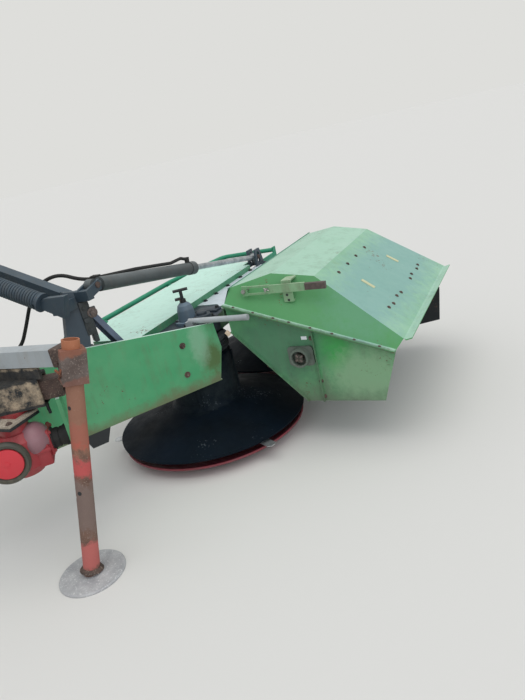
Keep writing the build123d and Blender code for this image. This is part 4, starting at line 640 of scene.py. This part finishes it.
def fitting(name, body, finish, rounds=(), boxes=(), smooth_angle=40):
    """A piece of rounds and boxes.

    A round has the place of its base, its direction, radius, height, sides, bevel and, if it
    tapers, its top radius. A box has the place of its middle, its turn, size and bevel.
    Places are in metres and sizes in millimetres.
    """
    bm = bmesh.new()
    for place, direction, *sizes in rounds:
        cylinder(bm, facing(place, direction), *sizes)
    for place, turn, size, bevel in boxes:
        cuboid(bm, Matrix.Translation(place) @ turn, size, bevel)
    piece(name, bm, body, finish, smooth_angle)


WASHER_SPREAD = 1.5
WASHER_SINK = 1
WASHER_THICK = 3
WASHER_BEVEL = 0.6
HEAD_START = 1.5
HEAD_BEVEL_SHARE = 0.12
BOLT_TURN_STEP = 0.7


def bolts(name, body, finish, rows):
    """Hexagon bolt heads on washers, each turned its own way.

    Columns: place in metres, direction, radius and head height in millimetres.
    """
    bm = bmesh.new()
    for index, (point, direction, radius, height) in enumerate(rows):
        base = facing(point, direction, index * BOLT_TURN_STEP)
        washer = base @ Matrix.Translation((0, 0, -WASHER_SINK * MILLIMETRE))
        cylinder(bm, washer, radius * WASHER_SPREAD, WASHER_THICK, 20, WASHER_BEVEL)
        head = base @ Matrix.Translation((0, 0, HEAD_START * MILLIMETRE))
        cylinder(bm, head, radius, height, 6, radius * HEAD_BEVEL_SHARE)
    piece(name, bm, body, finish)


# Hydraulic hose, on the same route as its solid, its radius in metres

HOSE_RADIUS = 0.008
HOSE_ROUTE = [
    (150, 375, 930), (210, 375, 930), (300, 400, 975), (385, 440, 950),
    (450, 460, 880), (500, 480, 780), (560, 500, 680), (660, 560, 660),
    (728, 630, 735), (744, 680, 845), (750, 697, 942), (807, 705, 1000),
    (889, 716, 1000), (947, 726, 942), (950, 730, 860), (950, 730, 790),
]


def round_line(name, points, radius, body, finish):
    """A smooth round line with the given control points, in metres."""
    data = bpy.data.curves.new(name, "CURVE")
    data.dimensions = "3D"
    data.bevel_depth = radius
    data.bevel_resolution = 4
    data.resolution_u = 8
    data.use_fill_caps = True
    spline = data.splines.new("NURBS")
    spline.points.add(len(points) - 1)
    for control, point in zip(spline.points, points):
        control.co = (*point, 1.0)
    spline.order_u = 3
    spline.use_endpoint_u = True
    data.materials.append(finish)
    made = bpy.data.objects.new(name, data)
    bpy.context.scene.collection.objects.link(made)
    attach(made, body)
    return made


hose_points = [at(*point) for point in HOSE_ROUTE]
hose = round_line("hose", hose_points, HOSE_RADIUS, "headstock", RUBBER)
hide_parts("hydraulic_hose")


# Relief spring, wound from round wire, lengths in metres

SPRING_LENGTH = 0.430
SPRING_RADIUS = 0.037
SPRING_WIRE = 0.0058
SPRING_TURNS = 33
SPRING_SLOPE = math.radians(23)
SPRING_REAR = (235, 600, 912)
SPRING_STEPS = 20
SPRING_SECTION_SIDES = 8


def relief_spring():
    """The spring's coil, which runs up and forward from its rear end."""
    mean = SPRING_RADIUS - SPRING_WIRE
    pitch = (SPRING_LENGTH - 2 * SPRING_WIRE) / SPRING_TURNS
    bm = bmesh.new()
    section = Matrix.Translation((mean, 0, SPRING_WIRE)) @ Matrix.Rotation(math.pi / 2, 4, "X")
    bmesh.ops.create_circle(bm, segments=SPRING_SECTION_SIDES, radius=SPRING_WIRE, matrix=section)
    bmesh.ops.spin(bm, geom=bm.edges[:], cent=(0, 0, 0), axis=UP,
                   dvec=(0, 0, pitch / SPRING_STEPS), angle=SPRING_TURNS * 2 * math.pi,
                   steps=SPRING_TURNS * SPRING_STEPS, use_merge=False)
    ends = [edge for edge in bm.edges if edge.is_boundary]
    bmesh.ops.holes_fill(bm, edges=ends, sides=12)
    axis = way(math.cos(SPRING_SLOPE), 0, math.sin(SPRING_SLOPE))
    bmesh.ops.transform(bm, matrix=facing(at(*SPRING_REAR), axis), verts=bm.verts)
    made = piece("spring_coil", bm, "headstock", POST_GREY, 60)
    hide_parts("relief_spring")


relief_spring()


# Conditioner housing: fasteners on the seam, the panel, the hood and the deck

PANEL_Y = 80
SEAM_BOLTS_Y = 93
PANEL_BOLTS_Y = 81
SEAM_FRONT = (-263, 679)
SEAM_REAR = (-992, 428)
RIDGE_REAR = (-659, 736)
HOOD_REAR_LOW = (-1022, 465)
SEAM_BOLTS_X = (-311, -400, -490, -558, -649, -740, -830, -930)
PANEL_BOLTS = ((-649, 299), (-652, 226), (-640, 500))
HOOD_BOLTS = ((-928, -144), (-934, -205), (-928, -300), (-934, -361),
              (-934, -576), (-928, -640), (-934, -745), (-928, -805),
              (-712, -201), (-712, -340), (-712, -480), (-712, -640))
DECK_ROW_X = 78
DECK_ROW_Y = (-312, -434, -577, -739, -880)
DECK_ROW_Z = 588


def between(first, last, x):
    """The height at x on the line through two points in x and z."""
    return first[1] + (last[1] - first[1]) * (x - first[0]) / (last[0] - first[0])


def above(first, last):
    """The upward normal of a sheet that runs through two points in x and z."""
    normal = way(first[1] - last[1], 0, last[0] - first[0])
    return normal if normal.z > 0 else -normal


def housing_bolts():
    seam_up = above(SEAM_REAR, SEAM_FRONT)
    rows = [(at(x, SEAM_BOLTS_Y, between(SEAM_FRONT, SEAM_REAR, x)), seam_up, 6.5, 5)
            for x in SEAM_BOLTS_X]
    rows += [(at(x, PANEL_BOLTS_Y, z), TO_TRACTOR, 7, 5) for x, z in PANEL_BOLTS]
    bolts("housing_bolts", "mower_unit", BROWN, rows)
    slope_up = above(HOOD_REAR_LOW, RIDGE_REAR)
    rows = [(at(x, y, between(RIDGE_REAR, HOOD_REAR_LOW, x)), slope_up, 6, 4)
            for x, y in HOOD_BOLTS]
    bolts("hood_bolts", "mower_unit", BROWN, rows)
    rows = [(at(DECK_ROW_X, y, DECK_ROW_Z), UP, 8.5, 7) for y in DECK_ROW_Y]
    bolts("deck_bolts", "mower_unit", BLACK, rows)


housing_bolts()


# Arm plate: two rusty bolts near its outer end, by place along the arm and height

ARM_BOLTS = ((143, 554), (156, 420))

bolts("arm_bolts", "headstock", BROWN,
      [(on_arm(along, height, 0.5), ARM_OUT, 9.5, 9) for along, height in ARM_BOLTS])


# Rotor's end: a cross of four splines on its stub

ROTOR = at(-583, PANEL_Y + 20, 423)
SPLINES = 4
SPLINE_FIRST_TURN = 0.6
SPLINE_OUT = 13.5
SPLINE_SIZE = (14, 38, 8)


def rotor_splines():
    turns = [Matrix.Rotation(SPLINE_FIRST_TURN + index * 2 * math.pi / SPLINES, 4, "Y")
             for index in range(SPLINES)]
    outwards = Matrix.Translation((SPLINE_OUT * MILLIMETRE, 0, 0))
    boxes = [(ROTOR, turn @ outwards, SPLINE_SIZE, 1) for turn in turns]
    fitting("rotor_splines", "conditioner_rotor", CLAMP_RUST, boxes=boxes, smooth_angle=30)


rotor_splines()


# Gearbox: round cover with its rim, bearing housing, top plate and rubber sleeve on the shaft

GEARBOX = Vector((165, 975, 480))
GEARBOX_TURN = math.radians(49)
SHAFT_WAY = Vector((-math.sin(GEARBOX_TURN), -math.cos(GEARBOX_TURN), 0))
COVER_WAY = Vector((-math.cos(GEARBOX_TURN), math.sin(GEARBOX_TURN), 0))
SHAFT_TURN = SHAFT_WAY.to_track_quat("X", "Z").to_matrix().to_4x4()
COVER_BACK = 40
COVER_FACE = 90
COVER_THICK = 18
COVER_RADIUS = 56
COVER_BOSS_RADIUS = 10
RIM_RADIUS = 66
RIM_SECTION = (12.5, 15.5)
RIM_RISE = 9
RIM_BACK = 6
RIM_SIDES = 10
RIM_STEPS = 64
DOME_MIDDLE = (56, 16, 24)
DOME_RADIUS = 64
DOME_SQUASH = 0.92
# Columns: place from the gearbox's middle, size and bevel
BEARING_BLOCKS = (((70, 8, -28), (60, 112, 88), 10),
                  ((70, 8, -8), (70, 124, 14), 3),
                  ((104, 0, 4), (14, 98, 98), 6))
FLANGE_BOLTS = [(70 + along, 8 + side, -1) for along in (-24, 24) for side in (50, -50)]
END_BOLTS = [(111, side, 4 + rise) for side in (-36, 36) for rise in (-36, 36)]
# Columns: start along the shaft, length and radius
SLEEVE_STEPS = ((110, 28, 37), (138, 6, 33), (144, 26, 36), (170, 12, 29))
PLATE_MIDDLE = (175, 970, 600)
PLATE_SIZE = (150, 140, 10)
GASKET_MIDDLE = (175, 970, 590)
GASKET_SIZE = (152, 142, 12)
PLATE_CORNERS = [(175 + forward, 970 + side, 605) for forward in (-58, 58) for side in (-52, 52)]


def near_gearbox(along_shaft, along_cover=0.0, rise=0.0):
    """A point from the gearbox's middle along its shaft, along its cover's axis and up."""
    point = GEARBOX + SHAFT_WAY * along_shaft + COVER_WAY * along_cover
    return at(point.x, point.y, point.z + rise)


def gearbox_cover():
    fitting("gearbox_face", "headstock", BRIGHT_RED, rounds=[
        (near_gearbox(-COVER_BACK, COVER_FACE), COVER_WAY, COVER_RADIUS, COVER_THICK, 64, 5),
        (near_gearbox(-COVER_BACK, COVER_FACE + COVER_THICK), COVER_WAY, COVER_BOSS_RADIUS, 2,
         24, 0.8),
    ])
    bm = bmesh.new()
    section = Matrix.Translation(Vector((RIM_RADIUS, 0, RIM_RISE)) * MILLIMETRE)
    section = section @ Matrix.Rotation(math.pi / 2, 4, "X")
    section = section @ Matrix.Diagonal((*(half * MILLIMETRE for half in RIM_SECTION), 1, 1))
    section = section @ Matrix.Rotation(math.pi / RIM_SIDES, 4, "Z")
    bmesh.ops.create_circle(bm, segments=RIM_SIDES, radius=1, matrix=section)
    bmesh.ops.spin(bm, geom=bm.edges[:], cent=(0, 0, 0), axis=UP, angle=2 * math.pi,
                   steps=RIM_STEPS, use_merge=True)
    place = facing(near_gearbox(-COVER_BACK, COVER_FACE - RIM_BACK), COVER_WAY)
    bmesh.ops.transform(bm, matrix=place, verts=bm.verts)
    piece("gearbox_rim", bm, "headstock", GREASY)


def gearbox_housing():
    bm = bmesh.new()
    dome = facing(near_gearbox(*DOME_MIDDLE), SHAFT_WAY) @ Matrix.Diagonal((1, 1, DOME_SQUASH, 1))
    bmesh.ops.create_uvsphere(bm, u_segments=32, v_segments=20, radius=DOME_RADIUS * MILLIMETRE,
                              matrix=dome)
    piece("gearbox_dome", bm, "headstock", FADED_RED, 60)
    fitting("gearbox_bearing", "headstock", RED,
            boxes=[(near_gearbox(*place), SHAFT_TURN, size, bevel)
                   for place, size, bevel in BEARING_BLOCKS])
    rows = [(near_gearbox(*place), UP, 7, 6) for place in FLANGE_BOLTS]
    rows += [(near_gearbox(*place), SHAFT_WAY, 6, 5) for place in END_BOLTS]
    bolts("gearbox_bolts", "headstock", RED, rows)
    fitting("shaft_sleeve", "headstock", RUBBER,
            rounds=[(near_gearbox(start), SHAFT_WAY, radius, length, 40, 3)
                    for start, length, radius in SLEEVE_STEPS])


def gearbox_plate():
    """The bleached plate on top of the gearbox, with its dark edge and four bolts."""
    fitting("gearbox_plate", "headstock", BEIGE,
            boxes=[(at(*PLATE_MIDDLE), STRAIGHT, PLATE_SIZE, 3)])
    fitting("gearbox_gasket", "headstock", BLACK,
            boxes=[(at(*GASKET_MIDDLE), STRAIGHT, GASKET_SIZE, 3)])
    bolts("plate_bolts", "headstock", BROWN, [(at(*place), UP, 8, 6) for place in PLATE_CORNERS])


gearbox_cover()
gearbox_housing()
gearbox_plate()


# Stand: rusty collar, wing bolt, the leg's holes, the weld above its foot and the clamp's corners

COLLAR_MIDDLE = at(-98, 893, 800)
COLLAR_SIZE = (52, 67, 67)
COLLAR_BOLT = at(-96, 926, 784)
WING_BOLT = at(-129, 951, 757)
WING_BOLT_WAY = way(0.1, 0.98, 0.15)
WING_WAYS = (way(-0.62, 0.1, 0.78), way(0.62, 0.1, 0.78))
WING_SPAN = 44
WINGS_OUT = 7
SHANK_SINK = 16
HOLE_SINK = 3
LEG_HOLES = (((-113.8, 957.2, 632.6), Vector((0.147, 0.97, 0.194))),
             ((-79.7, 1011.4, 328.9), Vector((-0.142, 0.978, 0.154))))
FOOT_WELD = at(-32.4, 1036, 19)
FOOT_WELD_WAY = way(-0.14, -0.18, 1)
FOOT_WELD_RADIUS = 43
FOOT_WELD_TOP_RADIUS = 34
CLAMP_ROUNDING = 10


def stand_fittings():
    fitting("tube_collar", "headstock", BROWN,
            rounds=[(COLLAR_BOLT, TO_TRACTOR, 7, 5, 6, 1)],
            boxes=[(COLLAR_MIDDLE, STRAIGHT, COLLAR_SIZE, 6)])
    start = WING_BOLT - WING_BOLT_WAY * SHANK_SINK * MILLIMETRE
    middle = WING_BOLT + WING_BOLT_WAY * WINGS_OUT * MILLIMETRE
    wings = [(middle - wing * MILLIMETRE * WING_SPAN / 2, wing, 4.5, WING_SPAN, 12, 1)
             for wing in WING_WAYS]
    fitting("wing_bolt", "headstock", ORANGE_RUST,
            rounds=[(start, WING_BOLT_WAY, 9, 22, 6, 1)] + wings)
    fitting("leg_holes", "stand_leg", BLACK,
            rounds=[(at(*place) - outward * HOLE_SINK * MILLIMETRE, outward, 7.5, 3.6, 20, 0.4)
                    for place, outward in LEG_HOLES])
    fitting("foot_weld", "stand_leg", BROWN,
            rounds=[(FOOT_WELD, FOOT_WELD_WAY, FOOT_WELD_RADIUS, 12, 40, 4,
                     FOOT_WELD_TOP_RADIUS)])


def round_clamp():
    """Rounds the corners of the leg's clamp."""
    rounding = NODES["leg_clamp"].modifiers.new("rounding", "BEVEL")
    rounding.width = CLAMP_ROUNDING * MILLIMETRE
    rounding.segments = 3
    rounding.limit_method = "ANGLE"
    rounding.angle_limit = math.radians(60)


stand_fittings()
round_clamp()


# Post: bracket and bolts beside the strut's head

POST_MIDDLE = Vector((164, 520, 815))
STRUT_HEAD = at(110, 481, 818)
ALONG_ARM_TURN = ARM_ALONG.to_track_quat("X", "Z").to_matrix().to_4x4()
# Columns: place from the post's middle, size and bevel
BRACKET_PLATES = (((50, 8, -34), (20, 44, 172), 3),
                  ((36, 29, -14), (34, 8, 140), 2),
                  ((32, 36, -22), (22, 8, 22), 2))
BRACKET_FACE_BOLTS = ((34, 33, 30), (34, 33, -64))
BRACKET_END_BOLTS = ((53, 10, 34), (53, 10, -60))
STRUT_WASHER_THICK = 16
STRUT_HEAD_SIZE = (62, 12, 40)
STRUT_HEAD_ALONG = 12
STRUT_HEAD_RISE = 2


def beside_post(along, out, rise):
    """A point from the post's middle towards the arm's end, out to the camera's side and up."""
    point = POST_MIDDLE - ARM_ALONG * along + ARM_OUT * out
    return at(point.x, point.y, point.z + rise)


def post_fittings():
    fitting("post_bracket", "headstock", BRACKET_GREY,
            boxes=[(beside_post(*place), ALONG_ARM_TURN, size, bevel)
                   for place, size, bevel in BRACKET_PLATES])
    rows = [(beside_post(*place), ARM_OUT, 6, 6) for place in BRACKET_FACE_BOLTS]
    rows += [(beside_post(*place), -ARM_ALONG, 9, 8) for place in BRACKET_END_BOLTS]
    bolts("post_bolts", "headstock", BRACKET_GREY, rows)
    fitting("strut_bolt", "headstock", CLAMP_RUST, rounds=[
        (STRUT_HEAD, ARM_OUT, 21, STRUT_WASHER_THICK, 32, 3),
        (STRUT_HEAD + ARM_OUT * MILLIMETRE * STRUT_WASHER_THICK, ARM_OUT, 12, 8, 6, 1.2),
    ])
    middle = STRUT_HEAD + (ARM_ALONG * STRUT_HEAD_ALONG + UP * STRUT_HEAD_RISE) * MILLIMETRE
    fitting("strut_head", "headstock", BARREL_GREY,
            boxes=[(middle, ALONG_ARM_TURN, STRUT_HEAD_SIZE, 3)])


post_fittings()


# Rail's inner end, hook under the box, tag and label

RAIL_END = at(580, 99, 604)
RAIL_END_WAY = way(0, 1, 0.12)
RAIL_END_RADIUS = 13.5
RAIL_END_LENGTH = 115
HOOK_SHANK = at(66, 884, 622)
HOOK_TIP = at(66, 884, 590)
TAG_MIDDLE = at(-252, 87, 547)
TAG_SIZE = (24, 1.5, 24)
LABEL_MIDDLE = at(-608, 81, 502)
LABEL_SIZE = (26, 1, 15)
ON_CORNER = Matrix.Rotation(math.radians(45), 4, "Y")


def small_pieces():
    fitting("rail_end", "mower_unit", RAIL_GREEN,
            rounds=[(RAIL_END, RAIL_END_WAY, RAIL_END_RADIUS, RAIL_END_LENGTH, 24, 3)])
    fitting("box_hook", "headstock", BLACK,
            rounds=[(HOOK_SHANK, way(0.05, 0, -1), 6, 34, 16, 1),
                    (HOOK_TIP, way(-0.5, 0.4, -0.6), 5.5, 16, 16, 1)])
    fitting("warning_tag", "mower_unit", TAG, boxes=[(TAG_MIDDLE, ON_CORNER, TAG_SIZE, 0.5)])
    fitting("blank_label", "mower_unit", LABEL, boxes=[(LABEL_MIDDLE, STRAIGHT, LABEL_SIZE, 0.3)])


small_pieces()


# Hood: the lever link's pin, two holes in the lever's quadrant and two strips of old film

LINK_PIN = at(-476, 57, 724)
LINK_CLIP = at(-486, 66, 718)
QUADRANT_HOLES = ((-556, 687), (-560, 664))
STRIPS = (((-803, -692, 629), (-856, -703, 589)), ((-792, -256, 637), (-846, -255, 596)))
STRIP_WIDTH = 24
STRIP_THICK = 1.6
STRIP_RISE = 1.2


def hood_details():
    fitting("link_pin", "mower_unit", STEEL, rounds=[
        (LINK_PIN, way(0.07, 1, 0), 6.5, 22, 16, 1),
        (LINK_CLIP, way(1, 0, 0.6), 3, 26, 12, 0.8),
    ])
    face_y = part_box("lever_quadrant")[1][1]
    spots = [at(x, 0, z) for x, z in QUADRANT_HOLES]
    fitting("quadrant_holes", "mower_unit", BLACK,
            rounds=[((spot.x, face_y, spot.z), TO_TRACTOR, 5.5, 1, 20, 0.2) for spot in spots])
    slope_up = above(HOOD_REAR_LOW, RIDGE_REAR)
    boxes = []
    for first, last in STRIPS:
        start, end = at(*first), at(*last)
        along = (end - start).normalized()
        turn = Matrix((along, slope_up.cross(along), slope_up)).transposed().to_4x4()
        size = ((end - start).length / MILLIMETRE, STRIP_WIDTH, STRIP_THICK)
        middle = (start + end) / 2 + slope_up * STRIP_RISE * MILLIMETRE
        boxes.append((middle, turn, size, 0.4))
    fitting("film_strips", "mower_unit", TAPE, boxes=boxes)


hood_details()


# Dark casting on the beam behind the bell, its bolts and those around the bell

# Columns: place of the base, radius, height, sides and bevel
NECK_ROUNDS = (((-66, -28, 585), 44, 26, 40, 8),
               ((-66, -28, 611), 26, 12, 32, 5))
# Columns: place of the middle, size and bevel
NECK_BLOCKS = (((-92, 60, 594), (44, 110, 24), 8),
               ((-30, -150, 590), (120, 60, 12), 3))
CASTING_BOLTS = ((-20, -76, 585), (-66, 40, 605), (-92, -70, 585),
                 (-30, 72, 585), (10, -120, 585), (-75, -160, 596))
BELL_BOLT_CIRCLE = 53
BELL_BOLT_Z = 598
BELL_BOLT_TURNS = (0.6, 2.2, 3.7, 5.3)


def neck_casting():
    fitting("neck_casting", "mower_unit", CASTING,
            rounds=[(at(*base), UP, *sizes) for base, *sizes in NECK_ROUNDS],
            boxes=[(at(*middle), STRAIGHT, size, bevel) for middle, size, bevel in NECK_BLOCKS])
    rows = [(at(*place), UP, 9, 10) for place in CASTING_BOLTS]
    rows += [(at(BELL_BOLT_CIRCLE * math.cos(turn), BELL_BOLT_CIRCLE * math.sin(turn), BELL_BOLT_Z),
              UP, 6.5, 6) for turn in BELL_BOLT_TURNS]
    bolts("neck_bolts", "mower_unit", BLACK, rows)


neck_casting()
